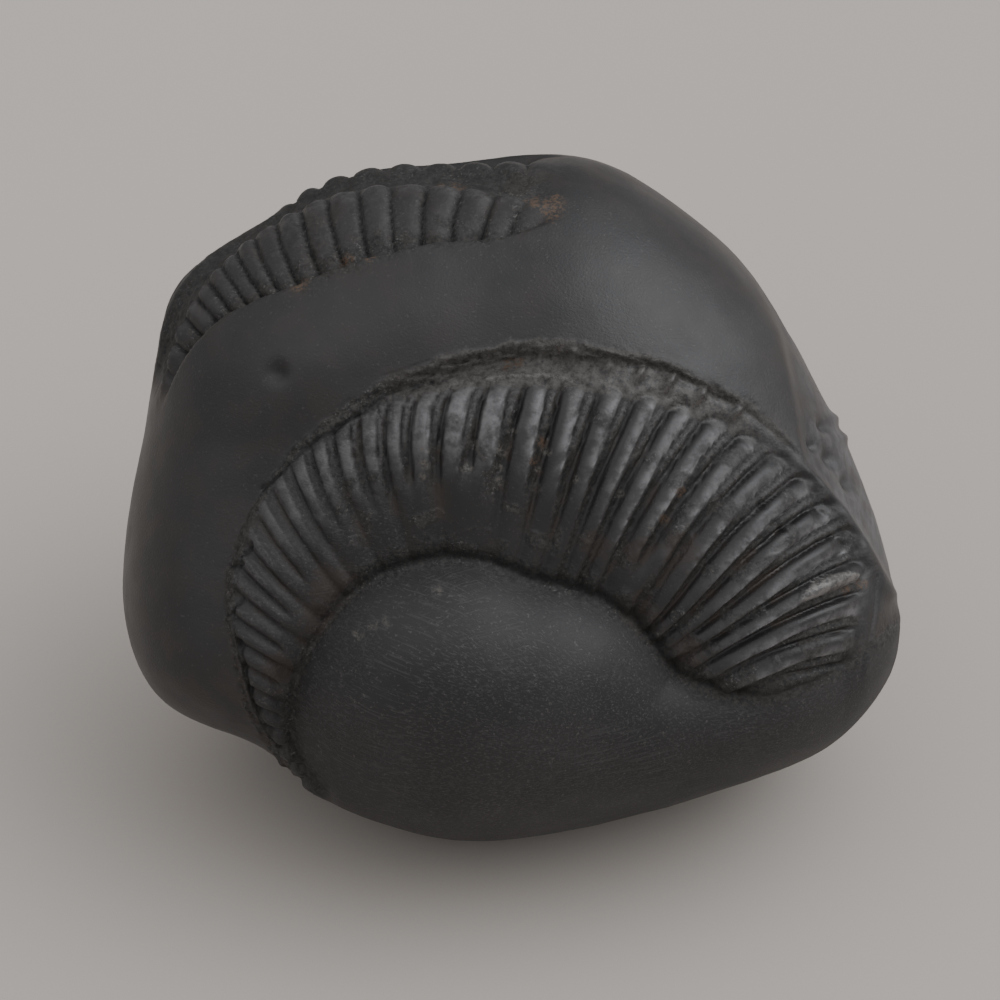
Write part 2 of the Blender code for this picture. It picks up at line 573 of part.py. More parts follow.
def stone_material():
    """Plain satin black."""
    material = bpy.data.materials.new("black_stone")
    material.use_nodes = True
    shader = material.node_tree.nodes["Principled BSDF"]
    shader.inputs["Base Color"].default_value = STONE_BLACK
    shader.inputs["Roughness"].default_value = 0.48
    shader.inputs["Metallic"].default_value = 0.0
    return material


def reduce_facets(mesh):
    """Collapse the fine mesh to the facets that its forms need."""
    helper = bpy.data.objects.new("fine_stone", mesh)
    bpy.context.scene.collection.objects.link(helper)
    modifier = helper.modifiers.new("fewer_facets", "DECIMATE")
    modifier.ratio = TRIANGLES / len(mesh.polygons)
    modifier.use_collapse_triangulate = True
    bpy.context.view_layer.update()
    evaluated = helper.evaluated_get(bpy.context.evaluated_depsgraph_get())
    reduced = bpy.data.meshes.new_from_object(evaluated)
    bpy.data.objects.remove(helper, do_unlink=True)
    return reduced


def cut_rest_flat(mesh):
    """Cut the stone flat below, and stand the middle of its box over the origin."""
    bm = bmesh.new()
    bm.from_mesh(mesh)
    low = -REST_HEIGHT * MM
    cut = bmesh.ops.bisect_plane(bm, geom=bm.verts[:] + bm.edges[:] + bm.faces[:],
                                 plane_co=(0.0, 0.0, low), plane_no=(0.0, 0.0, 1.0),
                                 clear_inner=True)
    rim = [item for item in cut["geom_cut"] if isinstance(item, bmesh.types.BMEdge)]
    bmesh.ops.edgeloop_fill(bm, edges=rim)
    bmesh.ops.recalc_face_normals(bm, faces=bm.faces[:])
    places = np.array([vert.co for vert in bm.verts])
    middle = (places.min(axis=0) + places.max(axis=0)) / 2.0
    bmesh.ops.translate(bm, verts=bm.verts[:], vec=(-middle[0], -middle[1], -low))
    bm.to_mesh(mesh)
    bm.free()


def build():
    for thing in list(bpy.data.objects):
        bpy.data.objects.remove(thing, do_unlink=True)
    bm = refined_sphere()
    for vert, point in zip(bm.verts, stone(sphere_directions(bm))):
        vert.co = point * MM
    bmesh.ops.transform(bm, matrix=tipped_back(), verts=bm.verts[:])
    fine = bpy.data.meshes.new("fine_stone")
    bm.to_mesh(fine)
    bm.free()
    mesh = reduce_facets(fine)
    cut_rest_flat(mesh)
    mesh.name = "shaligram_stone"
    mesh.shade_smooth()
    piece = bpy.data.objects.new("shaligram_stone", mesh)
    piece.data.materials.clear()
    piece.data.materials.append(stone_material())
    bpy.context.scene.collection.objects.link(piece)


build()
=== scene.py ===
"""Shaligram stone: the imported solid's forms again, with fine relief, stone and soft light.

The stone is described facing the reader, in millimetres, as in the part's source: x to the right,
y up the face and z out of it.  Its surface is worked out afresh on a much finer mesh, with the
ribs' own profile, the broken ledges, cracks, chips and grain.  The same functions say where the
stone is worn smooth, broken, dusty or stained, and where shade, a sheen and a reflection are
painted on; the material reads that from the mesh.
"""
import itertools
import math

import bmesh
import bpy
import numpy as np
from mathutils import Matrix, Vector


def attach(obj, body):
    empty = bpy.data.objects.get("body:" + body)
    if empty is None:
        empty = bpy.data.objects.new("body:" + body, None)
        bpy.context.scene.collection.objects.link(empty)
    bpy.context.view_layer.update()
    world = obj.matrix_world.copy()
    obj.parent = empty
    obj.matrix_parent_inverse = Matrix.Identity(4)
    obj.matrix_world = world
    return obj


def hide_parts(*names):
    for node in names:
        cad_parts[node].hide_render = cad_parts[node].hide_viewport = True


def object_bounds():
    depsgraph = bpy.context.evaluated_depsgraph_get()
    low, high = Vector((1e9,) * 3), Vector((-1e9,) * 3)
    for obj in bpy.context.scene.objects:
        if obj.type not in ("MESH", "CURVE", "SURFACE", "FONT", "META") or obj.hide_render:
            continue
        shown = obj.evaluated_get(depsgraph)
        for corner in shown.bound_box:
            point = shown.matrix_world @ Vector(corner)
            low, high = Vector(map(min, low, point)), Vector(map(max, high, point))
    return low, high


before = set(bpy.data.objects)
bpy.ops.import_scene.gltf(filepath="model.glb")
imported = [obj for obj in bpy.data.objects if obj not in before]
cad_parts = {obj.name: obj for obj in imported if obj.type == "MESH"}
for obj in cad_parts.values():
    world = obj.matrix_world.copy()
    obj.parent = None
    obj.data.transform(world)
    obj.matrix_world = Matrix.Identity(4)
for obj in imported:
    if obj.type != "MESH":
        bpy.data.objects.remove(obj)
CAD_LOW, CAD_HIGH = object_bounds()

MM = 0.001                    # metres in a millimetre
DEG = math.pi / 180.0

# ---- driving dimensions, in millimetres and degrees ----
FRONT_DEPTH = 38.0            # from the middle of the stone out to its face
BACK_DEPTH = 36.0             # from the middle of the stone to its back
BACK_SAG = 0.16               # share by which the back is fuller low down than high up
ROUNDNESS = 2.35              # exponent of the outline across the stone: 2 is an ellipse
LEAN_BACK = 42.0              # how far the face is tipped up from level
EYE_DISTANCE = 650.0          # the face is laid out as seen from this far off
REST_HEIGHT = 43.6            # from the flat that it rests on up to the middle of the stone

# Outline of the stone seen square to its face: angle, distance from the middle.
OUTLINE = (
    (0, 51.1), (5, 49.1), (10, 47.7), (20, 46.6), (30, 47.2), (40, 47.5), (50, 48.4), (60, 48.7),
    (70, 49.8), (77, 50.0), (85, 49.0), (95, 48.0), (103, 48.8), (110, 50.6), (120, 52.5),
    (128, 52.9), (135, 54.5), (141, 56.6), (147, 58.2), (153, 57.2), (160, 55.1), (168, 53.6),
    (178, 54.1), (188, 55.4), (196, 57.1), (203, 57.6), (209, 57.6), (215, 54.5), (221, 50.4),
    (228, 49.0), (238, 50.8), (250, 50.1), (260, 50.1), (270, 49.2), (280, 48.3), (292, 48.1),
    (305, 50.1), (315, 54.0), (323, 57.8), (330, 59.1), (336, 60.2), (342, 59.0), (350, 55.6),
)

# ---- the fossil, in polar places about its middle ----
FOSSIL_X = -2.9
FOSSIL_Y = -27.1
WHORL_START = -3.0            # the whorl comes out from under the stone at this angle
START_SLANT = 0.33            # degrees that this edge swings up for each millimetre outward
WHORL_END = (208.0, 218.0)    # it goes under the stone's lower left edge between these
WHORL_BELOW = (-75.0, -45.0)  # low down, the boss's foot begins to sink in between these

# Seam at the foot of the ribs, and so the edge of the boss.
SEAM = (
    (-60, 24.0), (-6, 30.0), (-3, 29.0), (-1, 28.2), (2, 27.0), (6, 25.6), (10, 24.6),
    (15, 23.7), (20, 22.9), (30, 21.4), (40, 19.5), (50, 18.0), (60, 16.7), (70, 16.2),
    (80, 16.6), (90, 17.5), (105, 18.9), (120, 20.4), (135, 22.4), (150, 24.2), (165, 25.8),
    (180, 27.9), (195, 28.7), (210, 27.5), (225, 27.0),
)
# Where the boss's lip covers the whorl's two ends, running in to the seam and out again: x, y.
START_LIP = (
    (75.0, -2.0), (48.6, -23.6), (45.5, -25.4), (41.4, -27.1), (38.0, -28.3), (35.7, -28.6),
    (32.9, -28.6), (30.0, -28.0), (27.6, -27.0),
)
END_LIP = ((-25.0, -46.0), (-22.0, -90.0))
# Shoulder, where the ribs end.
SHOULDER = (
    (-10, 49.0), (3, 50.3), (6, 50.8), (12, 52.5), (17, 55.0), (22, 55.6), (28, 54.3), (35, 52.5),
    (46, 50.2), (58, 47.4), (69, 45.1), (80, 43.8), (95, 43.2), (115, 42.9), (135, 42.8),
    (145, 40.9), (155, 40.0), (165, 37.9), (175, 35.1), (185, 33.1), (195, 30.9), (215, 29.5),
)
# Ledge, where the worn stone begins again.
LEDGE = (
    (-10, 51.5), (3, 52.8), (10, 55.5), (17, 57.6), (25, 57.0), (35, 55.3), (45, 54.5), (50, 53.8),
    (53, 53.0), (57, 52.9), (61.5, 52.4), (65, 51.5), (68, 50.4), (71, 49.4), (78, 48.4),
    (85, 47.7), (88, 47.1), (93.5, 46.3), (99, 45.1), (107, 44.7), (112, 44.2), (118, 43.6),
    (130, 43.4), (145, 41.6), (155, 40.4), (165, 38.2), (175, 35.6), (185, 33.6), (195, 31.4),
    (215, 30.0),
)
# How far the seam lies below the smooth pebble.
SEAM_DEPTH = ((-10, 7.2), (150, 7.2), (175, 6.4), (190, 5.0), (215, 3.6))
SHOULDER_DROP = 0.9           # and the highest part of the flank this far
SHOULDER_ROLL = 1.3           # how far the flank rolls down again to its shoulder,
ROLL_FROM = 0.50              # from this share of the way up
BOSS_RISE = 1.3               # the top of the boss stands this far above the pebble
BOSS_EDGE = 2.8               # how late the boss turns down to the seam: 2 is evenly round
BOSS_REACH = 22.0             # how far in from the seam it starts to turn down
FLANK_STEEPNESS = 1.6         # 1 is an even slope from the shoulder down to the seam
FACE_EDGE = (-6.0, 3.0)       # the face's forms fade out round the edge, between these depths

# Foot of the ledge below the worn stone, and how wide its face is.
LEDGE_DROP = (
    (-10, 1.2), (10, 0.9), (25, 0.8), (40, 0.9), (50, 1.1), (60, 1.6), (70, 2.4), (80, 3.3),
    (95, 3.8), (110, 3.2), (130, 2.2), (150, 1.8), (175, 1.5), (215, 1.2),
)
LEDGE_WIDTH = (
    (-10, 1.0), (45, 0.9), (54, 1.1), (58, 0.8), (65, 0.8), (69, 1.6), (72, 2.7), (80, 2.8),
    (86, 2.3), (92, 2.0), (98, 2.8), (105, 3.0), (111, 2.1), (118, 1.6), (130, 1.2), (215, 0.9),
)
# How far the lip of the worn stone rolls down to the ledge.
LIP_ROLL = (
    (-10, 0.0), (50, 0.2), (75, 0.8), (95, 1.4), (115, 2.6), (135, 3.4), (160, 2.8), (185, 1.6),
    (215, 0.5),
)
LIP_REACH = 8.0

# Ribs: angle of each rib at the shoulder, counted from the lower left.
RIB_ANGLES = (
    208, 203, 197.5, 192, 186, 181.5, 177, 172, 167, 162, 156.5, 152, 147, 141, 135, 129.5, 124.5,
    119, 113, 107.5, 101, 94, 87.3, 80.5, 73.7, 66.9, 60.6, 54.8, 49, 43.3, 37.7, 32.5, 27.3, 22,
    17.5, 12.7, 7.2, 1.8, -3.5,
)
# How far a rib's foot lies ahead of its head: angle at the foot, lean.
RIB_LEAN = (
    (-10, -13), (0, -13), (12, -14), (17, -16.5), (25, -17), (31, -16.5), (41, -11.5), (51, -9),
    (66, -4.5), (72, -1.5), (78, 1.5), (84, 3.4), (97, 8.5), (109, 13), (121, 12), (141, 11),
    (164, 9), (185, 5), (215, 2),
)
# Ribs that share one foot at the seam, counted along the whorl.
RIB_GROUPS = (2, 2, 2, 2, 2, 2, 2, 1, 2, 2, 2, 2, 1, 1, 1, 1, 1, 2, 1, 1, 2, 2, 1, 1, 1)
# Where such ribs join on the way down, from 0 at the seam to 1 at the shoulder.
RIB_FORK = ((-10, 0.10), (20, 0.16), (45, 0.28), (65, 0.42), (90, 0.52), (120, 0.50), (160, 0.40),
            (215, 0.3))
RIB_HEIGHT = 1.5
RIB_CREST = 0.43              # place of the crest across a rib's head, 0.5 being the middle
# How a rib bends: 1 is straight, more bends it near its foot and less near its head.
RIB_BEND = ((-10, 2.1), (62, 2.1), (74, 1.2), (84, 0.6), (100, 0.6), (118, 0.9), (215, 1.1))
RIB_ROUNDS = (0.55, 0.80)     # where ribs turn from sharp to round, from seam to shoulder
RIB_FEET = np.cumsum((0,) + RIB_GROUPS) - RIB_CREST
# A rib across, from the groove before it to the groove after it: place, height.  Low down it rises
# round and falls sharply; near its head a second, broken ridge lies in the groove; on the left it
# is worn round all over.
RIB_LOW = ((0.0, 0.0), (0.06, 0.24), (0.14, 0.46), (0.24, 0.66), (0.36, 0.84), (0.48, 0.96),
           (0.58, 1.0), (0.65, 0.96), (0.69, 0.80), (0.73, 0.38), (0.78, 0.16), (0.90, 0.06),
           (1.0, 0.0))
RIB_HIGH = ((0.0, 0.0), (0.04, 0.42), (0.10, 0.76), (0.18, 0.94), (0.27, 1.0), (0.38, 0.97),
            (0.50, 0.87), (0.60, 0.70), (0.64, 0.36), (0.68, 0.42), (0.78, 0.66), (0.86, 0.60),
            (0.94, 0.30), (1.0, 0.0))
RIB_WORN = ((0.0, 0.0), (0.07, 0.22), (0.16, 0.50), (0.28, 0.78), (0.42, 0.96), (0.52, 1.0),
            (0.64, 0.95), (0.76, 0.78), (0.86, 0.52), (0.94, 0.22), (1.0, 0.0))
RIB_WORN_FROM = (112.0, 146.0)        # worn round right up to the head past these angles,
LOW_WORN_FROM = (52.0, 72.0)          # and low down past these,
LOW_WORN = (0.35, 0.60)               # which is as far up as this
RIB_LEVEL = 0.45              # height in these profiles that lies at the flank's own level
# How high the ribs stand near their heads, and what share of that is left at the seam; between
# those two places on the way up they grow.
RIB_STRENGTH = ((-10, 1.0), (100, 1.0), (120, 0.75), (135, 0.60), (150, 0.60), (180, 0.75),
                (215, 0.75))
RIB_GROWS = (0.1, 0.6)
RIB_FOOT = ((-10, 0.80), (40, 0.80), (55, 0.60), (70, 0.40), (110, 0.35), (130, 0.55), (150, 0.85),
            (165, 1.0), (215, 1.0))

# Tips of the far row of ribs that stand out of the ledge: angle, distance.
TIPS = ((81.5, 48.5), (76, 49.0), (70, 49.4), (64.7, 50.0), (59.7, 51.2), (54.5, 51.8),
        (48.6, 53.0))
TIP_HEIGHT = 1.2
TIP_LENGTH = 1.9
TIP_WIDTH = 0.9

# ---- the second strip, in angles about the middle of the stone ----
# Its lower ledge and its shoulder: angle, distance from the middle as seen square to the face.
STRIP_LEDGE = ((78, 41.2), (88, 38.4), (96.5, 38.0), (105, 38.9), (117, 40.1), (127, 42.4),
               (135, 44.2), (141.5, 47.2), (150.6, 50.6), (160.4, 52.0), (168, 52.4))
STRIP_SHOULDER = ((78, 42.2), (86, 41.8), (93.8, 43.4), (99.2, 44.6), (104.3, 46.1), (109.4, 47.4),
                  (114.3, 48.6), (119.3, 50.1), (124, 51.1), (128, 51.9), (132, 52.7),
                  (136.6, 53.4), (144.4, 53.9), (150, 53.9), (160, 53.2), (168, 52.9))
STRIP_START = 82.0
STRIP_END = 163.0
STRIP_GROOVES = (81.5, 87, 92.9, 98.9, 104.9, 110.6, 116.1, 121.2, 125.8, 130.1, 134, 137.5, 140.7,
                 143.8, 147.1, 150.8, 155, 159.5, 164)
STRIP_LEAN = ((78, 3.5), (135, 4.4), (141, 2.4), (165, 1.5))
STRIP_KEEL = 10.5             # degrees over the edge from the near shoulder to the far one
STRIP_FAR = 11.0              # degrees that the far ribs run on, down the back
STRIP_SINK = 1.9              # depth of the strip below the worn stone at its ledges
STRIP_RIB = 1.0
FAR_RIB = 1.5                 # the far row stands higher, as far as this angle
FAR_RIB_END = 128.0
KEEL_SINK = 1.1
STRIP_FULLNESS = 0.45         # 1 is a plain wave, and less makes ribs broad and grooves narrow

# ---- small worn forms ----
# Oval marks on the face: x, y, half length, half width, slant, height.
MARKS = (
    (-33.3, 18.3, 1.5, 1.5, 0, -0.9),             # dimple at the upper left
    (44.9, 10.7, 1.1, 0.6, -62, -1.0),            # pits in the worn facet at the right
    (43.6, 8.0, 1.1, 0.6, -62, -1.0),
    (45.9, 6.2, 1.9, 0.7, -62, -1.2),
    (48.4, 2.7, 1.6, 0.6, -62, -1.0),
    (46.2, 11.6, 0.9, 0.9, 0, 0.6),               # knobs on the edge beside them
    (47.4, 8.8, 0.9, 0.9, 0, 0.6),
    (44.2, -1.8, 1.8, 1.2, 35, -0.7),             # chips out of the last ribs
    (47.1, -6.7, 1.9, 1.4, 40, -0.6),
    (45.0, -11.9, 4.3, 1.1, 24, 0.7),             # flake left standing on one of them
    (29.5, 15.2, 2.3, 0.7, -27, -0.6),            # what is left of the ledge further on
    (34.3, 12.9, 1.8, 0.6, -42, -0.6),
)
# Crisp ridge between the face and the worn facet at the right.
RIDGE = ((33.0, 33.5), (37.6, 24.0), (40.0, 12.0), (41.0, 5.0), (43.6, 2.1), (47.1, -2.1),
         (50.0, -6.4), (52.1, -10.0), (54.3, -13.6))
RIDGE_HEIGHT = 0.7
RIDGE_WIDTH = 1.1
RIDGE_TOP = (2.0, 10.0)       # heights up the face between which the ridge dies away
FACET_DEPTH = 0.7
FACET_REACH = 7.0             # how far the facet runs out from the ridge
FACET_FOOT = (-17.0, -12.0)   # heights between which it starts, and between which it ends
FACET_TOP = (24.0, 34.0)
# Long soft hollows and swellings all over the stone: direction, phase, height.
SWELLS = (
    (3.1, 1.7, -2.2, 0.4, 0.40), (-1.6, 4.2, 2.7, 1.9, 0.30), (5.3, -2.9, 3.8, 3.3, 0.18),
    (2.4, 6.1, -5.2, 5.1, 0.16), (-7.7, 4.6, 6.4, 2.6, 0.08), (8.3, 7.9, 5.1, 4.4, 0.07),
)

# ---- fine marks, which only the fine mesh carries ----
# Cracks: half width, places x, y along the line.
CRACKS = (
    (0.28, ((-4.3, 20.9), (-7, 19.9), (-10, 19.3), (-12.9, 16.6), (-15.7, 16), (-17.7, 15.3),
            (-19.3, 14.1), (-21.1, 12.6), (-23.6, 11.1), (-25, 9.9), (-27.4, 8.9), (-30, 6.9),
            (-32.4, 4.3), (-35.4, 1.4))),
    (0.25, ((-10, 16.9), (-12, 17), (-14.3, 16))),
    (0.28, ((-36.9, -6.1), (-37.6, -7.6), (-38.6, -8.1), (-38.2, -9.2), (-39.9, -9.6))),
    (0.26, ((-38.4, -14.3), (-39.3, -15.9), (-40.4, -16.6))),
    (0.28, ((-38.6, -20), (-37.7, -23.6), (-37.1, -26.4), (-36.4, -28.6), (-34.3, -32.1),
            (-32.9, -35))),
)
# Chips and the flake: height, corners x, y in turn.
CHIPS = (
    (-0.45, ((43.1, -3.4), (44.6, -3.9), (46.3, -3.1), (43.7, -0.7), (42.6, -2.1))),
    (-0.45, ((45.6, -8.9), (47.1, -8.6), (48.3, -6.4), (45.4, -4.7))),
    (0.50, ((40.4, -14.7), (45, -13.4), (48.6, -11.9), (49.4, -10.7), (47.1, -10.3),
            (43.6, -11.1), (41.1, -12.9))),
    (-0.40, ((34.6, -0.4), (35.7, -1.7), (36.4, -0.8), (35.2, 0.2))),
    (-0.40, ((36.6, -3.1), (38.2, -4.9), (39.2, -4.6), (37.4, -2.7))),
)
# What shows of the keel above the ribs' heads: places x, y along it.
KEEL_LINE = ((-5.6, 16.9), (-2.5, 17.7), (1, 18), (4.5, 17.9), (8.9, 17.4))
KEEL_HALF = 0.24
# Marks of colour: x, y, reach.
RUST = (
    (-24, 35.4, 1.3), (-20.3, 35.1, 1.2), (-30.3, 31.4, 1.6), (-10, 45.1, 1.3),
    (-7.6, 45.2, 1.3), (6, 41.3, 2.2), (3.5, 42.5, 1.4), (-0.2, 19.7, 1), (1.4, 20, 0.9),
    (4.6, 8.3, 0.9), (3.5, 5.6, 0.9), (24.4, 1.1, 0.9), (22, -2.7, 0.9), (50.2, -12, 1),
    (47.9, -12.9, 0.9),
)
CHALK = (
    (-12.3, 7.4, 0.9), (-12.2, 5.2, 1), (-12.5, 3.4, 0.7), (-5, 8.1, 1.1), (-1.1, 7.1, 1.1),
    (-1.5, 4.6, 0.9), (-1.4, 2.9, 0.8), (0.4, 10, 0.8), (5, 7, 0.9), (4, 4.4, 0.8),
    (-6.2, 4.6, 0.8), (-21.9, -19.3, 1), (-19.7, -17.9, 0.9), (-17.9, -17.4, 0.9),
    (-10.4, -12.9, 1), (20, -4, 0.7), (16, 1, 0.7), (9.5, 3, 0.7),
)
STAINS = (
    (-25.3, -12.5, 4), (-27, -17, 3.5), (24.3, -7.1, 3.5), (18.6, -16.4, 4),
    (25.4, -21.4, 3), (12.4, -6.4, 2.8), (18.3, -7.1, 2.6), (-33, -24, 3),
)
RUST_TURN = (0.05, 0.20)      # rust keeps to the side that faces the reader, from 0 to 1
FACET_REFLECTION_DEPTHS = (-22.0, 4.0)   # the worn facet's painted reflection comes in between these depths

# Fine forms of a rib, in places across it as in its profile: from where to where, or middle and
# half width.
BROKEN_LOW = (0.68, 0.92)     # broken ground near its foot
BROKEN_HIGH = (0.65, 0.90)    # and near its head
CREVICE = (0.655, 0.030)      # between the two halves of a split head
HEAD_GROOVE = (0.50, 0.045)   # between one head and the next, with half a rib added
STEEP_FOOT = (0.78, 0.07)     # at the bottom of the steep side
TROUGH = (0.70, 0.97)         # painted shade on the ground between ribs, below where their heads split
LIGHT_SIDE = ((0.18, 0.60), (0.615, 0.65))    # rubbed light with a painted sheen, coming in and going again,
LIGHT_EDGE = (0.62, 0.022)    # lightest here, a painted glint,
RIB_TOP = (0.10, 0.62)        # and on the left over the whole top
SEAM_GROOVE = (0.8, 1.0)      # middle and half width outside the boss
# Depths and heights of the fine forms.
CREVICE_DEPTH = 0.25
HEAD_GROOVE_DEPTH = 0.25
STEEP_FOOT_DEPTH = 0.15
SEAM_GROOVE_DEPTH = 0.5
HEAD_RIM_DEPTH = 0.28
STRIP_CREVICE = 0.50
STRIP_RIM = 0.24              # light rim along the near shoulder
STRIP_FOOT = 0.25             # hollow along the near ledge
STRIP_UNEVEN = 0.14           # from one rib of the strip to the next
FURROW_LUMPS = 0.30
LEDGE_LUMPS = 0.30
CRACK_DEPTH = 0.45
KEEL_HEIGHT = 0.25
# Layers of grain: height, size, seed.
BROKEN_GRAIN = ((0.24, 1.0, 11.0), (0.18, 2.6, 12.0))
LEDGE_GRAIN = ((0.32, 1.1, 24.0),)
WORN_GRAIN = ((0.02, 1.5, 14.0), (0.05, 4.0, 15.0))
# Angles about the fossil over which a fine form comes in or goes, or two pairs for both.
FINGERS = ((10, 26), (112, 135))      # ribs' split heads
HEAD_RIMS = ((12, 20), (95, 110))     # thin groove round each head, with painted shade in it
BRIGHTEST = ((34, 46), (92, 104))     # the most rubbed ribs, with the strongest painted sheen
LEFT_HALF = (82, 96)          # softer grooves, less broken and with less painted shade
LEFT_RIBS = (118, 150)        # worn ribs with pale patches,
PATCHES_END = (160, 170)      # as far as this
LOW_RIGHT_ENDS = (28, 44)     # less painted shade in the grooves towards the whorl's start
HEADS_BREAK = (60, 72)        # broken ends of the heads
FEET_NARROW = (140, 165)      # a narrower broken band above the seam
SEAM_FADES = (130, 170)       # shallower groove at the seam, with less painted shade
SHEEN_WEAR_RISES = (50, 66)         # rubbed, with painted sheen, only higher up past here,
TOPS_SHEEN_WEAR = (80, 92)          # over the whole top of a rib here,
SHEEN_WEAR_LESSENS = (98, 115)
SHEEN_WEAR_ENDS = (135, 160)        # and not at all past here
EDGES_END = (105, 120)        # crisp light edges, a painted glint
LEDGE_STARTS = (30, 56)       # broken ledge
LEDGE_LEFT = (112, 135)       # the ledge is neater past here
LUMPS_START = (40, 70)        # and lumps on the ground below it
VENTER_BREAKS = (62, 74)      # broken ground there, between the heads and the ledge
DUST_ENDS = (96, 112)         # dust on both
FLANK_DULLS = (100, 125)      # dull flank,
FLUTE_ENDS = (110, 140)       # and glossy flank up to there
FINGER_START = 0.74           # a head splits this far up the flank,
FINGER_SWAY = 0.07            # give or take this
STRIP_ROW = ((-0.1, 0.1), (0.9, 1.05))        # a row of the strip, from its ledge to the keel

# Longest edges of the mesh: on the face's detail, on the strip and elsewhere.
FINE_EDGE = 0.47
STRIP_EDGE = 0.66
COARSE_EDGE = 1.5
MARGIN = 2.0                  # the short edges reach this far past the detail
REFINEMENTS = 3               # times that long edges are cut in two

# ---- colours, light and view ----
# Shares the mesh carries, with painted shade, a painted sheen and a painted reflection among them.
MASKS = ("rough", "painted_shade", "dusty", "pale", "wear_and_sheen", "matt", "facet", "flake", "rust", "chalk",
         "stain", "flute", "deep")
BLACK = ((0.0150, 0.0147, 0.0155), (0.0215, 0.0208, 0.0215))
DUST = ((0.014, 0.0135, 0.013), (0.052, 0.049, 0.046))
SATIN = (0.38, 0.46)          # roughness of the worn stone, from place to place
GRAIN_DEPTH = 0.22
FLOOR = (0.46, 0.42, 0.385, 1.0)
# Soft lights round the stone: azimuth, elevation, spread, strength, tint.
SKY = (
    (80.0, 50.0, 26.0, 3.0, (0.97, 0.98, 1.0)),
    (108.0, 26.0, 22.0, 1.2, (0.97, 0.98, 1.0)),
    (130.0, 55.0, 40.0, 1.2, (0.97, 0.98, 1.0)),
    (0.0, 8.0, 30.0, 0.46, (1.0, 0.96, 0.92)),
    (250.0, 34.0, 32.0, 0.52, (1.0, 0.98, 0.97)),
    (300.0, 48.0, 38.0, 0.92, (0.97, 0.98, 1.0)),
)
ROOM = (0.06, 0.06, 0.062)    # light that comes from everywhere
TARGET = Vector((-0.0002, 0.0025, 0.0436))
VIEW_WIDTH = 142.857          # what the camera takes in at the stone, in millimetres
CAMERA_UP = 42.0


# ---- shares between 0 and 1, and curves ----
def ease(low, high, value):
    """Ease from 0 at low to 1 at high."""
    part = np.clip((value - low) / (high - low), 0.0, 1.0)
    return part * part * (3.0 - 2.0 * part)


def bump(value, middle, half):
    """1 at the middle, easing to 0 on both sides."""
    return np.exp(-((value - middle) / half) ** 2)


def fade(low, high, value):
    """Ease from 1 at low to 0 at high."""
    return 1.0 - ease(low, high, value)


def window(rise, fall, value):
    """Ease up to 1 over the first range and down again over the second."""
    return ease(*rise, value) * fade(*fall, value)


def band(place, low, high, edge):
    """1 between two places across a rib, easing to 0 outside them."""
    return window((low - edge, low + edge), (high - edge, high + edge), place)


def mixed(first, last, share):
    """From first where share is 0 to last where it is 1."""
    return first + (last - first) * share


def blurred(places, values, reach):
    """Round the corners of a line given at even steps."""
    step = places[1] - places[0]
    half = int(math.ceil(3.0 * reach / step))
    weights = np.exp(-0.5 * (np.arange(-half, half + 1) * step / reach) ** 2)
    padded = np.pad(values, half, mode="edge")
    return np.convolve(padded, weights / weights.sum(), mode="valid")


def curve(pairs, reach):
    """A smooth function of angle through a few (angle, value) pairs, worked out once."""
    angles, values = np.array(pairs, float).T
    steps = np.arange(-400.0, 760.0, 0.5)
    line = blurred(steps, np.interp(steps, angles, values), reach)
    return lambda angle: np.interp(angle, steps, line)


def closed_curve(pairs, reach):
    """As curve, for an outline that runs right round."""
    turns = [(angle + turn, value) for turn in (-360, 0, 360) for angle, value in pairs]
    return curve(turns, reach)


outline_at = closed_curve(OUTLINE, 3.5)
seam_at = closed_curve(SEAM, 2.5)
seam_depth_at = curve(SEAM_DEPTH, 6.0)
shoulder_at = curve(SHOULDER, 3.0)
ledge_at = curve(LEDGE, 2.5)
ledge_drop_at = curve(LEDGE_DROP, 5.0)
ledge_width_at = curve(LEDGE_WIDTH, 5.0)
lip_roll_at = curve(LIP_ROLL, 6.0)
rib_lean_at = curve(RIB_LEAN, 6.0)
rib_bend_at = curve(RIB_BEND, 4.0)
rib_fork_at = curve(RIB_FORK, 6.0)
rib_strength_at = curve(RIB_STRENGTH, 6.0)
rib_foot_at = curve(RIB_FOOT, 6.0)
strip_lean_at = curve(STRIP_LEAN, 2.0)


# ---- the worn pebble ----
def two_angles(way):
    """Angle of a direction about the line of sight, and how far round from that line it is."""
    round_way = np.degrees(np.arccos(np.clip(way[:, 2], -1.0, 1.0)))
    return np.degrees(np.arctan2(way[:, 1], way[:, 0])), round_way


def pebble(way):
    """Point of the smooth pebble in each direction from its middle."""
    level = np.hypot(way[:, 0], way[:, 1])
    angle, _ = two_angles(way)
    back = BACK_DEPTH * (1.0 - BACK_SAG * way[:, 1])
    depth = np.where(way[:, 2] > 0.0, FRONT_DEPTH, back)
    wide = (level / outline_at(angle)) ** ROUNDNESS
    deep = (np.abs(way[:, 2]) / depth) ** ROUNDNESS
    return way * ((wide + deep) ** (-1.0 / ROUNDNESS))[:, None]


def pebble_normal(way):
    """Outward direction of the smooth pebble's surface."""
    helper = np.where(np.abs(way[:, 2:3]) < 0.9, [[0.0, 0.0, 1.0]], [[1.0, 0.0, 0.0]])
    side = np.cross(helper, way)
    side /= np.linalg.norm(side, axis=1)[:, None]
    up = np.cross(way, side)
    nudge = 0.02
    spread = [pebble(unit(way + nudge * step)) for step in (side, -side, up, -up)]
    return unit(np.cross(spread[0] - spread[1], spread[2] - spread[3]))


def unit(rows):
    """Rows made one long."""
    return rows / np.linalg.norm(rows, axis=1)[:, None]


def seen_from_front(points):
    """Where points of the stone appear to an eye in front of its face."""
    return points[:, :2] * (EYE_DISTANCE / (EYE_DISTANCE - points[:, 2:3]))


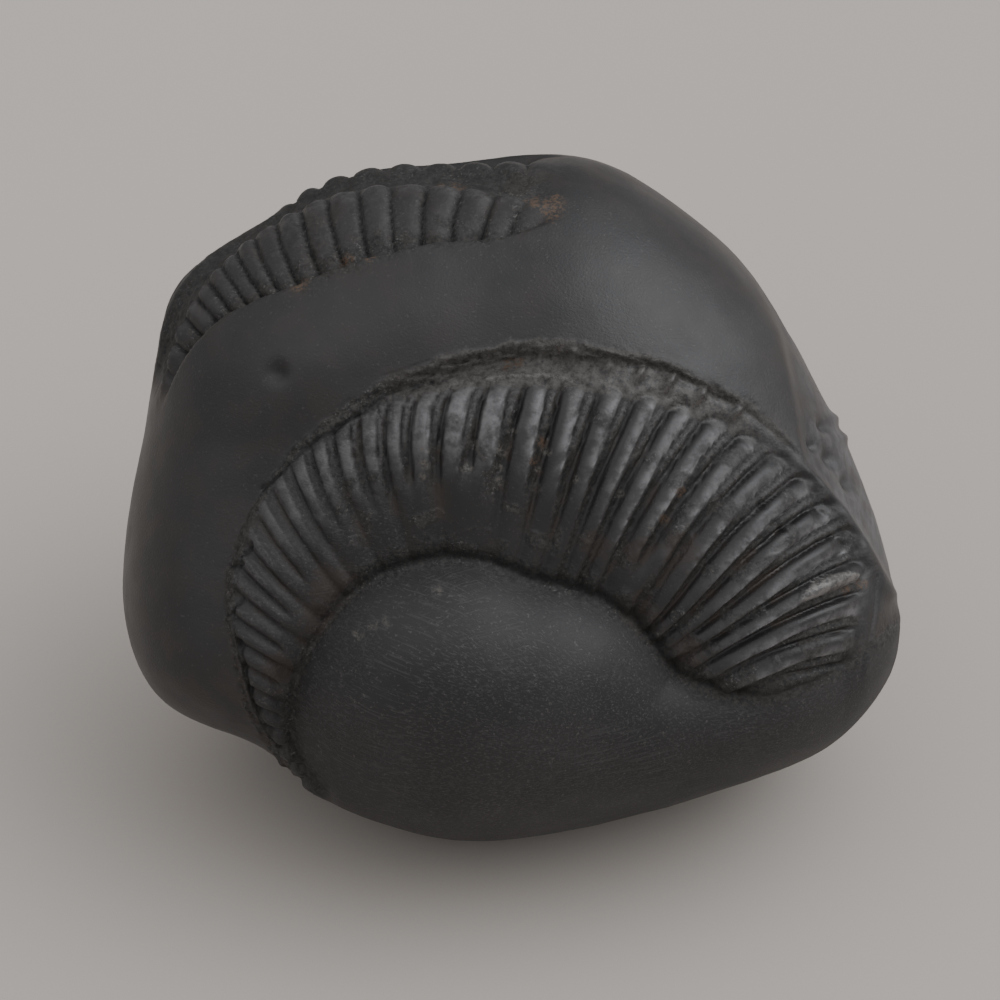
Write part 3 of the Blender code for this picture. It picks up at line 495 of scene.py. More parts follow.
def edge_angle(angle, distance):
    """How far round from the face a place lies, given as it is seen from the front."""
    turns = np.linspace(20.0, 90.0, 141)
    result = []
    for place, reach in zip(np.atleast_1d(angle), np.atleast_1d(distance)):
        way = np.stack((np.sin(turns * DEG) * math.cos(place * DEG),
                        np.sin(turns * DEG) * math.sin(place * DEG),
                        np.cos(turns * DEG)), axis=1)
        seen = np.linalg.norm(seen_from_front(pebble(way)), axis=1)
        result.append(np.interp(reach, np.maximum.accumulate(seen), turns))
    return np.array(result)


def edge_curve(pairs, reach):
    """A line along the top edge, as how far round from the face it lies at each angle."""
    angles, distances = np.array(pairs, float).T
    return curve(list(zip(angles, edge_angle(angles, distances))), reach)


strip_ledge_at = edge_curve(STRIP_LEDGE, 2.5)
strip_shoulder_at = edge_curve(STRIP_SHOULDER, 2.5)


# ---- the large forms of the face ----
def fossil_polar(seen):
    """Angle and distance about the middle of the fossil, the angle from -152 to 208."""
    x = seen[:, 0] - FOSSIL_X
    y = seen[:, 1] - FOSSIL_Y
    angle = np.degrees(np.arctan2(y, x))
    return np.where(angle < -140.0, angle + 360.0, angle), np.hypot(x, y)


def seam_line():
    """The boss's border as points x, y: its lip over the whorl's start, then the seam."""
    turns = np.arange(4.0, 216.0, 4.0)
    reach = seam_at(turns)
    seam = zip(FOSSIL_X + reach * np.cos(turns * DEG), FOSSIL_Y + reach * np.sin(turns * DEG))
    return list(START_LIP) + list(seam) + list(END_LIP)


def left_of_line(seen, line):
    """Distance from a line of points, positive on the left of someone walking along it."""
    best = np.full(len(seen), 1e9)
    side = np.zeros(len(seen))
    for start, end in zip(line[:-1], line[1:]):
        first = np.array(start)
        run = np.array(end) - first
        share = np.clip(((seen - first) @ run) / (run @ run), 0.0, 1.0)
        gap = seen - (first + share[:, None] * run)
        reach = np.hypot(gap[:, 0], gap[:, 1])
        nearer = reach < best
        best = np.where(nearer, reach, best)
        side = np.where(nearer, np.sign(gap[:, 1] * run[0] - gap[:, 0] * run[1]), side)
    return side * best


def face_places(seen):
    """Angle and distance about the fossil, distance outside the boss, and share of the whorl."""
    angle, distance = fossil_polar(seen)
    gap = -left_of_line(seen, seam_line())
    share = window(WHORL_BELOW, WHORL_END, angle)
    start = WHORL_START + START_SLANT * np.clip(distance - 36.0, 0.0, 16.0)
    along = np.maximum(angle, start)
    return along, distance, gap, share


def face_relief(angle, distance, gap, share):
    """Height of the large forms over the pebble, towards the eye."""
    seam = seam_at(angle)
    shoulder = shoulder_at(angle)
    ledge = ledge_at(angle)

    up = np.clip((distance - seam) / (shoulder - seam), 0.0, 1.0)
    slope = (1.0 - up) ** FLANK_STEEPNESS
    roll = SHOULDER_ROLL * ((up - ROLL_FROM).clip(0.0) / (1.0 - ROLL_FROM)) ** 2
    flank = -SHOULDER_DROP - (seam_depth_at(angle) - SHOULDER_DROP) * slope - roll
    foot = ledge_drop_at(angle)
    along = ease(shoulder, ledge, distance)
    head = SHOULDER_DROP + SHOULDER_ROLL
    venter = -head - (foot - head) * along

    lip = lip_roll_at(angle) * np.exp(-((distance - ledge) / LIP_REACH).clip(0.0) ** 2)
    rise = ease(ledge - 0.3, ledge + ledge_width_at(angle), distance)
    worn = -lip * rise - foot * (1.0 - rise)

    outside = np.where(distance < shoulder, flank, np.where(distance < ledge, venter, worn))
    turn_down = np.clip(1.0 + gap / BOSS_REACH, 0.0, 1.0) ** BOSS_EDGE
    boss = BOSS_RISE - (BOSS_RISE - share * outside) * turn_down
    return np.where(gap < 0.0, boss, share * outside)


# ---- ribs ----
def across(profile, steps):
    """Height across one rib after another, one to each whole step."""
    places, heights = np.array(profile).T
    return np.interp(steps - np.floor(steps), places, heights)


def rib_places(angle, distance):
    """Share of the way up the flank, steps along the heads and the feet, and which of them rule."""
    seam = seam_at(angle)
    up = (distance - seam) / (shoulder_at(angle) - seam)
    lean = rib_lean_at(angle) * (1.0 - np.clip(up, 0.0, 1.0)) ** rib_bend_at(angle)
    phase = np.interp(lean - angle, -np.array(RIB_ANGLES, float), np.arange(len(RIB_ANGLES)))
    feet = np.interp(phase, RIB_FEET, np.arange(len(RIB_FEET)))
    fork = rib_fork_at(angle)
    return up, phase + RIB_CREST, feet, ease(fork - 0.14, fork + 0.12, up)


def rib_relief(angle, distance, gap, share):
    """Height of the whorl's ribs, along the pebble's outward direction."""
    up, phase, feet, single = rib_places(angle, distance)
    upper = mixed(across(RIB_LOW, phase), across(RIB_HIGH, phase), ease(*RIB_ROUNDS, up))
    crisp = mixed(across(RIB_LOW, feet), upper, single)
    worn = mixed(across(RIB_WORN, feet), across(RIB_WORN, phase), single)
    low_worn = ease(*LOW_WORN_FROM, angle) * fade(*LOW_WORN, up)
    height = mixed(crisp, worn, np.maximum(ease(*RIB_WORN_FROM, angle), low_worn))
    strength = mixed(rib_foot_at(angle), 1.0, ease(*RIB_GROWS, up))
    strength = strength * rib_strength_at(angle)
    ends = ease(0.0, 1.2, gap) * fade(0.94, 1.05, up)
    return RIB_HEIGHT * share * strength * ends * (height - RIB_LEVEL)


def tip_relief(angle, distance):
    """The far ribs' tips, which stand out of the ledge in a row."""
    total = np.zeros_like(angle)
    for place, reach in TIPS:
        along = (angle - place) * DEG * reach / TIP_WIDTH
        out = (distance - reach) / TIP_LENGTH
        total = np.maximum(total, np.clip(1.0 - np.hypot(along, out), 0.0, 1.0))
    return TIP_HEIGHT * total


# ---- the strip along the top edge ----
def strip_places(way):
    """Angles along the strip and out over the edge, share of the strip, steps along its ribs.

    The last two results run from 0 at a ledge to 1 at a shoulder: first for the near row, then
    for the far one.
    """
    angle, round_way = two_angles(way)
    ledge = strip_ledge_at(angle)
    shoulder = strip_shoulder_at(angle)
    start, end = STRIP_START, STRIP_END
    share = window((start - 3.0, start + 9.0), (end - 6.0, end + 3.0), angle)
    near = (round_way - ledge) / np.maximum(shoulder - ledge, 2.0)
    back = (shoulder + STRIP_KEEL + STRIP_FAR - round_way) / STRIP_FAR
    lean = strip_lean_at(angle) * (1.0 - np.clip(near, 0.0, 1.0))
    phase = np.interp(angle - lean, STRIP_GROOVES, np.arange(len(STRIP_GROOVES)))
    return angle, round_way, share, phase, near, back


def strip_relief(way):
    """Height of the second strip: near ribs, a furrow with the keel's two edges, and far ribs."""
    angle, round_way, share, phase, near, back = strip_places(way)
    ledge = strip_ledge_at(angle)
    shoulder = strip_shoulder_at(angle)
    far = shoulder + STRIP_KEEL
    bottom = far + STRIP_FAR
    wave = np.sin(math.pi * (phase - np.floor(phase))) ** STRIP_FULLNESS - 0.5
    ends = window((-0.05, 0.12), (0.96, 1.10), near)
    far_row = window((-0.05, 0.15), (0.92, 1.12), back)
    far_row = far_row * fade(FAR_RIB_END - 4.0, FAR_RIB_END + 4.0, angle)
    inside = window((ledge - 1.0, ledge + 0.8), (bottom - 0.8, bottom + 1.2), round_way)
    crown = window((ledge, shoulder), (far, bottom), round_way)
    keel = window((shoulder, shoulder + 4.0), (far - 4.0, far), round_way)
    floor = -STRIP_SINK + (STRIP_SINK - 0.4) * crown - KEEL_SINK * keel
    return share * inside * (floor + (STRIP_RIB * ends + FAR_RIB * far_row) * wave)


# ---- worn facet and small marks ----
def oval(seen, x, y, long_half, wide_half, slant):
    """1 in the middle of an oval, easing to 0 past its rim."""
    dx = seen[:, 0] - x
    dy = seen[:, 1] - y
    along = dx * math.cos(slant * DEG) + dy * math.sin(slant * DEG)
    out = dy * math.cos(slant * DEG) - dx * math.sin(slant * DEG)
    return np.exp(-((along / long_half) ** 2 + (out / wide_half) ** 2))


def worn_relief(seen):
    """The ridge and facet at the right, and the small oval marks."""
    beside = left_of_line(seen, RIDGE)
    low_end = ease(*FACET_FOOT, seen[:, 1])
    trough = window((0.3, 2.4), (3.0, FACET_REACH), beside)
    height = -FACET_DEPTH * trough * low_end * fade(*FACET_TOP, seen[:, 1])
    crest = np.exp(-(beside / RIDGE_WIDTH) ** 2) * fade(*RIDGE_TOP, seen[:, 1])
    height = height + RIDGE_HEIGHT * crest * low_end
    for x, y, long_half, wide_half, slant, mark in MARKS:
        height = height + mark * oval(seen, x, y, long_half, wide_half, slant)
    return height


def swell_relief(way):
    """Soft unevenness of the worn stone."""
    return sum(height * np.sin(way @ np.array((x, y, z)) + phase)
               for x, y, z, phase, height in SWELLS)


# ---- grain ----
def lattice_slopes(cell):
    """A fixed direction for each cell of a lattice, scrambled from its three whole numbers."""
    code = (cell[:, 0] * 73856093) ^ (cell[:, 1] * 19349663) ^ (cell[:, 2] * 83492791)
    code = (code ^ (code >> 13)) * 1274126177
    code = code ^ (code >> 16)
    turn = (code & 1023) * (2.0 * math.pi / 1024.0)
    height = ((code >> 10) & 1023) / 511.5 - 1.0
    flat = np.sqrt(1.0 - height * height)
    return np.stack((flat * np.cos(turn), flat * np.sin(turn), height), axis=1)


def noise(points, size, seed=0.0):
    """Soft lumps about size across, between about -1 and 1."""
    place = points / size + seed * 7.31
    cell = np.floor(place).astype(np.int64)
    part = place - cell
    share = part ** 3 * (part * (part * 6.0 - 15.0) + 10.0)
    total = np.zeros(len(points))
    for corner in itertools.product((0, 1), repeat=3):
        step = np.array(corner)
        weight = np.prod(np.where(step, share, 1.0 - share), axis=1)
        total += weight * np.einsum("ij,ij->i", lattice_slopes(cell + step), part - step)
    return 1.6 * total


def rough_noise(points, size, seed=0.0):
    """Broken-stone grain: lumps with smaller lumps on them."""
    return (0.6 * noise(points, size, seed) + 0.35 * noise(points, size * 0.5, seed + 1.0)
            + 0.2 * noise(points, size * 0.27, seed + 2.0))


def grain_height(kind, points, layers):
    """Height of several layers of one kind of noise."""
    return sum(height * kind(points, size, seed) for height, size, seed in layers)


# ---- fine forms of the ribs ----
class Ribs:
    """Where points of the fine mesh lie on the ribs.

    up runs from the seam to the shoulder, high and low run across a rib near its head and its
    foot, and single says which of the two rules.  finger is the share of the split heads, soft
    that of the ribs worn round low down, left that of the worn ribs on the left, and inside that
    of the whole ribbed flank.
    """

    def __init__(self, places, points):
        """Work the places out from those on the face."""
        self.angle, distance, self.gap, self.share = places
        self.points = points
        self.up, phase, feet, self.single = rib_places(self.angle, distance)
        wavy = 0.025 * noise(points, 1.1, 5.0) + 0.04 * noise(points, 4.0, 6.0)
        self.high = (phase + wavy) % 1.0
        self.low = (feet + wavy) % 1.0
        self.start = FINGER_START + FINGER_SWAY * np.sin(np.floor(phase) * 2.3)
        self.split = window(*FINGERS, self.angle)
        self.finger = ease(self.start - 0.06, self.start + 0.06, self.up)
        self.finger = self.finger * self.split * self.single
        self.soft = ease(*LOW_WORN_FROM, self.angle)
        self.soft = self.soft * fade(0.30, 0.55, self.up + 0.10 * noise(points, 3.0, 23.0))
        self.inside = self.share * ease(0.0, 0.8, self.gap) * fade(1.0, 1.06, self.up)
        self.left = ease(*LEFT_RIBS, self.angle)
        self.left_half = ease(*LEFT_HALF, self.angle)


def rib_roughness(ribs):
    """Where the ribs' grooves, feet and heads are broken."""
    start, end = BROKEN_HIGH
    grooves = mixed(band(ribs.low, *BROKEN_LOW, 0.05),
                    band(ribs.high, start, end + 0.08 * ribs.finger, 0.04), ribs.single)
    grooves = grooves * (1.0 - 0.75 * ribs.left) * (1.0 - 0.85 * ribs.soft)
    grooves = grooves * (1.0 - 0.3 * ribs.left_half)
    reach = 4.5 - 2.2 * ease(*FEET_NARROW, ribs.angle)
    foot = fade(0.35 * reach, reach, ribs.gap + 1.2 * noise(ribs.points, 2.5, 7.0))
    head = ease(0.92, 1.02, ribs.up + 0.04 * noise(ribs.points, 1.8, 18.0))
    head = head * ease(*HEADS_BREAK, ribs.angle)
    scars = ease(0.30, 0.45, noise(ribs.points, 3.5, 19.0)) * (1.0 - 0.7 * ribs.left)
    return ribs.inside * np.maximum.reduce([grooves, foot, 0.5 * head, 0.7 * scars])


def rib_grooves(ribs):
    """Fine grooves between the ribs and their split heads: height, and their painted shade."""
    crisp = 1.0 - 0.8 * ribs.left
    whole = 1.0 - ribs.finger
    crevice = bump(ribs.high, *CREVICE) * ribs.finger
    groove = bump((ribs.high + 0.5) % 1.0, *HEAD_GROOVE) * ribs.single * ribs.finger
    drop = bump(ribs.low, *STEEP_FOOT) * (1.0 - ribs.single)
    drop = drop + bump(ribs.high, *STEEP_FOOT) * ribs.single * whole
    seam = bump(ribs.gap, *SEAM_GROOVE) * (1.0 - 0.75 * ease(*SEAM_FADES, ribs.angle))
    trough = 0.5 * band(ribs.high, *TROUGH, 0.05) * whole * ribs.single * ribs.split
    low_right = 1.0 - 0.45 * fade(*LOW_RIGHT_ENDS, ribs.angle)
    lines = low_right * (1.0 - 0.45 * ribs.left_half) * (groove + 0.7 * drop + trough)
    lines = 0.8 * crevice + lines * (1.0 - ribs.soft) * crisp
    # painted shade low on the flank, darker towards the seam
    shade = 0.45 * fade(0.03, 0.25, ribs.up + 0.05 * noise(ribs.points, 5.0, 26.0))
    shade = shade * (1.0 - 0.85 * ribs.left)
    # painted shade in the grooves, crevices, troughs and the seam groove
    painted_shade = ribs.inside * np.clip(lines + 0.8 * seam + shade, 0.0, 1.0)
    rim = bump(ribs.up, 1.02 + 0.025 * np.cos(2.0 * math.pi * (ribs.high - 0.35)), 0.022)
    rim = rim * window(*HEAD_RIMS, ribs.angle) * ribs.share
    height = -CREVICE_DEPTH * crevice - SEAM_GROOVE_DEPTH * seam
    fine = HEAD_GROOVE_DEPTH * groove + STEEP_FOOT_DEPTH * drop
    height = ribs.inside * (height - fine * (1.0 - ribs.soft) * crisp)
    # the groove round each head carries painted shade as well
    return height - HEAD_RIM_DEPTH * rim, np.maximum(painted_shade, 0.45 * rim)


def rib_scrapes(ribs):
    """Where the split heads, and patches on the left, are scraped pale."""
    wedge = np.clip((ribs.up - ribs.start) / (1.0 - ribs.start), 0.0, 1.0)
    scrape = band(ribs.high, 0.69, 0.74 + 0.19 * wedge, 0.04) * ribs.finger
    patch = band(ribs.high, 0.28, 0.62, 0.05) * ease(0.62, 0.75, ribs.up)
    patch = patch * ribs.left * ribs.single
    scrape = scrape + 0.8 * patch * fade(*PATCHES_END, ribs.angle)
    return ribs.inside * np.clip(scrape, 0.0, 1.0)


def rib_wear_and_sheen(ribs):
    """Where the ribs are rubbed light with a painted sheen: one side of each, its edge,
    and on the left its top.
    """
    sides = [window(*LIGHT_SIDE, place) for place in (ribs.low, ribs.high)]
    edges = [bump(place, *LIGHT_EDGE) for place in (ribs.low, ribs.high)]
    top = band(ribs.high, *RIB_TOP, 0.04) * ribs.single
    side = mixed(mixed(*sides, ribs.single), 0.75 * top, ease(*TOPS_SHEEN_WEAR, ribs.angle))
    start = mixed(0.20, 0.38, ease(*SHEEN_WEAR_RISES, ribs.angle))
    reach = ease(start, start + 0.42, ribs.up)
    reach = reach * (1.0 - 0.25 * ease(*SHEEN_WEAR_LESSENS, ribs.angle))
    reach = reach * fade(*SHEEN_WEAR_ENDS, ribs.angle)
    reach = reach * (1.0 + 0.35 * window(*BRIGHTEST, ribs.angle))
    edge = mixed(*edges, ribs.single) * ease(-0.1, 0.25, noise(ribs.points, 1.3, 25.0))
    edge = edge * fade(*EDGES_END, ribs.angle)
    wear_and_sheen = reach * side * (1.0 - 0.5 * ribs.soft) + 1.3 * edge * reach
    return ribs.inside * np.clip(wear_and_sheen, 0.0, 1.6)


# ---- fine forms of the ledge and the second strip ----
def ledge_detail(places, points):
    """The broken ledge: where its face is, where the ground below it is rough, and its layers."""
    angle, distance, _, share = places
    foot = ledge_at(angle)
    left = ease(*LEDGE_LEFT, angle)
    ragged = (0.5 * noise(points, 2.6, 8.0) + 0.3 * noise(points, 1.0, 8.5)) * (1.0 - 0.4 * left)
    face = ease(foot - 0.6 + 0.5 * left, foot + 0.1 + 0.2 * left, distance + ragged)
    top = foot + ledge_width_at(angle) * (1.0 - 0.35 * left)
    face = face * fade(top - 0.2, top + 0.5, distance + ragged)
    shoulder = shoulder_at(angle)
    venter = window((shoulder - 0.2, shoulder + 0.4), (foot - 0.4, foot + 0.4), distance)
    there = share * ease(*LEDGE_STARTS, angle)
    along = angle * DEG * distance
    long_way = np.stack((along / 5.0, distance / 0.8, 0.3 * points[:, 2]), axis=1)
    short_way = np.stack((along / 1.8, distance / 0.5, points[:, 2]), axis=1)
    layers = 0.55 * noise(long_way, 1.0, 13.0) + 0.35 * noise(short_way, 1.0, 13.5)
    lumps = LEDGE_LUMPS * noise(points, 1.6, 20.0) * venter * ease(*LUMPS_START, angle)
    return there * face, there * venter, there * (face * layers + lumps)


def strip_detail(way, points):
    """What the fine mesh adds to the second strip: height, where it is rough, painted shade and
    pale.
    """
    wander = 0.05 * noise(points, 1.8, 9.0) + 0.05 * noise(points, 5.0, 10.0)
    angle, _, share, phase, near, back = strip_places(way)
    phase = phase + wander
    step = phase - np.round(phase)
    near = near + 2.0 * wander
    rows = window(*STRIP_ROW, near)
    far_rows = window(*STRIP_ROW, back)
    furrow = ease(0.95, 1.10, near) * ease(0.95, 1.10, back)
    inside = ease(-0.25, 0.0, near) * ease(-0.2, 0.1, back)
    fresh = ease(STRIP_START + 2.0, STRIP_START + 14.0, angle)
    crevice = bump(step, 0.0, 0.055) * rows * fresh
    groove = bump(step, 0.0, 0.16)
    scales = ease(0.0, 0.5, noise(points, 2.2, 16.0))
    foot = ease(0.30, 0.0, near + 0.35 * noise(points, 2.4, 28.0))
    foot = np.maximum(bump(near, 0.0, 0.22), foot)
    rough = 0.9 * furrow + rows * (0.12 + 0.6 * groove + 0.30 * scales) + 0.8 * foot
    rough = np.clip(rough + far_rows * (0.35 + 0.5 * groove), 0.0, 1.0)
    uneven = np.sin(np.floor(phase) * 2.7) * (1.0 - groove) * rows
    uneven += 0.8 * rows * noise(points, 2.0, 29.0)
    rim = bump(near, 0.95, 0.09) * (1.0 - groove)
    # painted shade in the strip's crevices, its furrow and the hollow along its ledge
    painted_shade = np.clip(crevice + 0.65 * furrow + 0.40 * foot, 0.0, 1.0) * fresh
    height = STRIP_RIM * rim - STRIP_CREVICE * crevice - STRIP_FOOT * foot
    height += STRIP_UNEVEN * uneven
    height += FURROW_LUMPS * furrow * noise(points, 1.8, 17.0)
    share = share * inside
    return share * height, share * rough, share * painted_shade, 0.6 * share * rim


# ---- marks ----
def keel_line(seen, points):
    """What shows of the keel: a thin light ridge between the ribs' heads and the ledge."""
    wander = seen[:, 1] + 0.25 * noise(points, 1.5, 31.0)
    places = np.stack((seen[:, 0], wander), axis=1)
    return bump(np.abs(left_of_line(places, KEEL_LINE)), 0.0, KEEL_HALF)


def crack_share(seen, points):
    """How far in one of the cracks a place is."""
    total = np.zeros(len(seen))
    wander = seen + 0.25 * np.stack((noise(points, 1.2, 21.0), noise(points, 1.2, 22.0)), axis=1)
    for half, line in CRACKS:
        total = np.maximum(total, bump(np.abs(left_of_line(wander, line)), 0.0, half))
    return total


def chip_relief(seen):
    """Flat-bottomed chips and a raised flake, with crisp borders."""
    total = np.zeros(len(seen))
    for height, corners in CHIPS:
        inside = np.full(len(seen), 1e9)
        for start, end in zip(corners, corners[1:] + corners[:1]):
            run = np.array(end) - np.array(start)
            gap = seen - np.array(start)
            inside = np.minimum(inside, (gap[:, 1] * run[0] - gap[:, 0] * run[1]) / np.hypot(*run))
        total += height * ease(-0.15, 0.25, inside)
    return total


def spots(seen, points, marks):
    """Share of the listed round marks of colour, with broken edges."""
    broken = 1.0 + 0.5 * noise(points, 0.9, 30.0)
    total = np.zeros(len(seen))
    for x, y, reach in marks:
        off = np.hypot(seen[:, 0] - x, seen[:, 1] - y) * broken
        total = np.maximum(total, fade(0.5 * reach, reach, off))
    return total


def facet_share(seen):
    """Share of the worn facet at the right, which a painted reflection lightens."""
    beside = left_of_line(seen, RIDGE)
    soft = ease(-4.0, 14.0, seen[:, 1])
    share = ease(0.3, 1.4 + 5.0 * soft, beside)
    return (share * ease(FACET_FOOT[0], FACET_FOOT[1] + 9.0, seen[:, 1])
            * fade(20.0, 36.0, seen[:, 1]))


def hollow(seen):
    """How far in the small pits and the dimple a place is, for the painted shade in them."""
    return sum(0.7 * oval(seen, x, y, 0.7 * long_half, 0.7 * wide_half, slant)
               for x, y, long_half, wide_half, slant, height in MARKS if height < 0.0)


# ---- the dressed stone ----
def with_face(base, places):
    """Points of the pebble moved towards or away from the eye by the face's large forms."""
    front = ease(*FACE_EDGE, base[:, 2])
    to_eye = unit(np.array([[0.0, 0.0, EYE_DISTANCE]]) - base)
    return base + to_eye * (front * face_relief(*places))[:, None]


def fine_stone(way):
    """Points of the dressed stone in each direction, how each place is worn, and where shade,
    a sheen and a reflection are painted on.
    """
    base = pebble(way)
    normal = pebble_normal(way)
    seen = seen_from_front(base)
    places = face_places(seen)
    angle, distance, gap, share = places
    front = ease(*FACE_EDGE, base[:, 2])
    ribs = Ribs(places, base)
    rib_height, rib_shade = rib_grooves(ribs)
    ledge, venter, ledge_height = ledge_detail(places, base)
    strip_height, strip_rough, strip_shade, strip_pale = strip_detail(way, base)
    crack = crack_share(seen, base)
    keel = keel_line(seen, base)
    chips = chip_relief(seen)
    relief = rib_relief(*places)
    tips = tip_relief(angle, distance)

    flank = ease(-1.0, 0.5, gap) * fade(0.98, 1.03, ribs.up)
    boss_edge = share * bump(gap, 0.0, 1.6) * ease(-2.0, -0.2, gap)
    dusty = np.maximum(venter, ledge) * fade(*DUST_ENDS, angle)
    venter = venter * ease(*VENTER_BREAKS, angle + 4.0 * noise(base, 3.0, 27.0))
    rough = np.maximum.reduce([front * rib_roughness(ribs), front * ledge, 0.7 * front * venter,
                               strip_rough, 0.7 * front * boss_edge])

    height = relief + rib_height + tips
    height += worn_relief(seen) + chips - CRACK_DEPTH * crack + KEEL_HEIGHT * keel
    ledges = front * np.maximum(ledge, 0.7 * venter)
    broken = rough * grain_height(rough_noise, base, BROKEN_GRAIN) + front * ledge_height
    broken += ledges * grain_height(rough_noise, base, LEDGE_GRAIN)
    soft = grain_height(noise, base, WORN_GRAIN)
    height = front * height + strip_relief(way) + strip_height + swell_relief(way) + broken + soft
    matt_flank = 0.8 * share * flank * ease(*FLANK_DULLS, angle)
    base = with_face(base, places)
    masks = {
        "rough": rough,
        # painted shade in the grooves, seam, cracks, pits and the strip's hollows
        "painted_shade": np.clip(front * (rib_shade + crack + hollow(seen)) + strip_shade, 0.0, 1.0),
        "dusty": front * dusty,
        "pale": front * (rib_scrapes(ribs) + 0.8 * tips / TIP_HEIGHT) + strip_pale,
        # rubbed wear with a painted sheen along one side and edge of each rib
        "wear_and_sheen": front * rib_wear_and_sheen(ribs),
        "matt": front * np.maximum(fade(-1.5, 0.0, gap), matt_flank),
        # painted reflection over the worn facet
        "facet": ease(*FACET_REFLECTION_DEPTHS, base[:, 2]) * facet_share(seen),
        "flake": front * np.maximum(ease(0.1, 0.4, chips), 0.6 * keel),
        "rust": ease(*RUST_TURN, way[:, 2]) * spots(seen, base, RUST),
        "chalk": front * spots(seen, base, CHALK),
        "stain": front * share * flank * spots(seen, base, STAINS),
        "flute": front * share * ease(0.5, 2.0, gap) * fade(0.96, 1.04, ribs.up)
        * fade(*FLUTE_ENDS, angle),
        "deep": front * share * ease(0.0, 1.0, gap)
        * np.clip(0.5 - 1.6 * (relief / RIB_HEIGHT + 0.1), 0.0, 1.0),
    }
    return base + normal * height[:, None], masks


# ---- the fine mesh ----
def near_marks(seen):
    """Whether places on the face are on or beside one of the oval marks."""
    total = sum(oval(seen, x, y, long_half + 1.0, wide_half + 1.0, slant)
                for x, y, long_half, wide_half, slant, _ in MARKS)
    return total > 0.3


def near_ribs(seen):
    """Whether places on the face are on or beside the ribs and the ledge."""
    angle, distance, gap, share = face_places(seen)
    return (gap > -MARGIN) & (distance < ledge_at(angle) + 2.0 * MARGIN) & (share > 0.0)


def near_strip(way):
    """Whether directions point at the second strip or beside it."""
    place, round_way = two_angles(way)
    end = strip_shoulder_at(place) + STRIP_KEEL + STRIP_FAR
    inside = (round_way > strip_ledge_at(place) - MARGIN) & (round_way < end + MARGIN)
    return inside & (place > STRIP_START - MARGIN) & (place < STRIP_END + MARGIN)


def edge_limit(way):
    """Longest edge wanted in each direction."""
    base = pebble(way)
    seen = seen_from_front(base)
    face = (near_ribs(seen) | near_marks(seen)) & (base[:, 2] > FACE_EDGE[0])
    limit = np.where(face, FINE_EDGE, COARSE_EDGE)
    return np.where(near_strip(way), STRIP_EDGE, limit)


def sphere_directions(bm):
    """Direction of each vertex of the sphere, one to a row."""
    return unit(np.array([vert.co for vert in bm.verts]))


def refined_sphere():
    """A sphere of directions whose edges are short where the stone has detail."""
    bm = bmesh.new()
    bmesh.ops.create_icosphere(bm, subdivisions=6, radius=1.0)
    for _ in range(REFINEMENTS):
        way = sphere_directions(bm)
        base = pebble(way)
        points = with_face(base, face_places(seen_from_front(base)))
        limit = edge_limit(way)
        bm.verts.index_update()
        bm.edges.ensure_lookup_table()
        ends = np.array([(edge.verts[0].index, edge.verts[1].index) for edge in bm.edges])
        length = np.linalg.norm(points[ends[:, 0]] - points[ends[:, 1]], axis=1)
        long = np.flatnonzero(length > np.minimum(limit[ends[:, 0]], limit[ends[:, 1]]))
        bmesh.ops.subdivide_edges(bm, edges=[bm.edges[i] for i in long], cuts=1,
                                  use_grid_fill=True)
        bmesh.ops.triangulate(bm, faces=bm.faces[:])
    return bm


def stone_mesh():
    """The dressed stone's mesh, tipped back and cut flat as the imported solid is."""
    bm = refined_sphere()
    points, masks = fine_stone(sphere_directions(bm))
    layers = {name: bm.verts.layers.float.new(name) for name in masks}
    for index, vert in enumerate(bm.verts):
        vert.co = points[index] * MM
        for name, layer in layers.items():
            vert[layer] = masks[name][index]
    turn = Matrix.Rotation((90.0 - LEAN_BACK) * DEG, 4, "X")
    bmesh.ops.transform(bm, matrix=turn, verts=bm.verts[:])
    flat = (0.0, 0.0, -REST_HEIGHT * MM)
    cut = bmesh.ops.bisect_plane(bm, geom=bm.verts[:] + bm.edges[:] + bm.faces[:],
                                 plane_co=flat, plane_no=(0.0, 0.0, 1.0), clear_inner=True)
    rim = [item for item in cut["geom_cut"] if isinstance(item, bmesh.types.BMEdge)]
    bmesh.ops.edgeloop_fill(bm, edges=rim)
    bmesh.ops.triangulate(bm, faces=[face for face in bm.faces if len(face.verts) > 3])
    bmesh.ops.recalc_face_normals(bm, faces=bm.faces[:])
    fit_to_solid(bm)
    mesh = bpy.data.meshes.new("worn_stone")
    bm.to_mesh(mesh)
    bm.free()
    mesh.shade_smooth()
    return mesh


def fit_to_solid(bm):
    """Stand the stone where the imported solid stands, and keep it inside that solid's box."""
    places = np.array([vert.co for vert in bm.verts])
    least, most = places.min(axis=0), places.max(axis=0)
    cad_low, cad_high = np.array(CAD_LOW), np.array(CAD_HIGH)
    share = min(1.0, float(np.min((cad_high - cad_low) / (most - least))))
    middle = (least + most) / 2.0
    target = (cad_low + cad_high) / 2.0
    for vert, place in zip(bm.verts, places):
        moved = (place - middle) * share + target
        moved[2] = (place[2] - least[2]) * share + cad_low[2]
        vert.co = moved


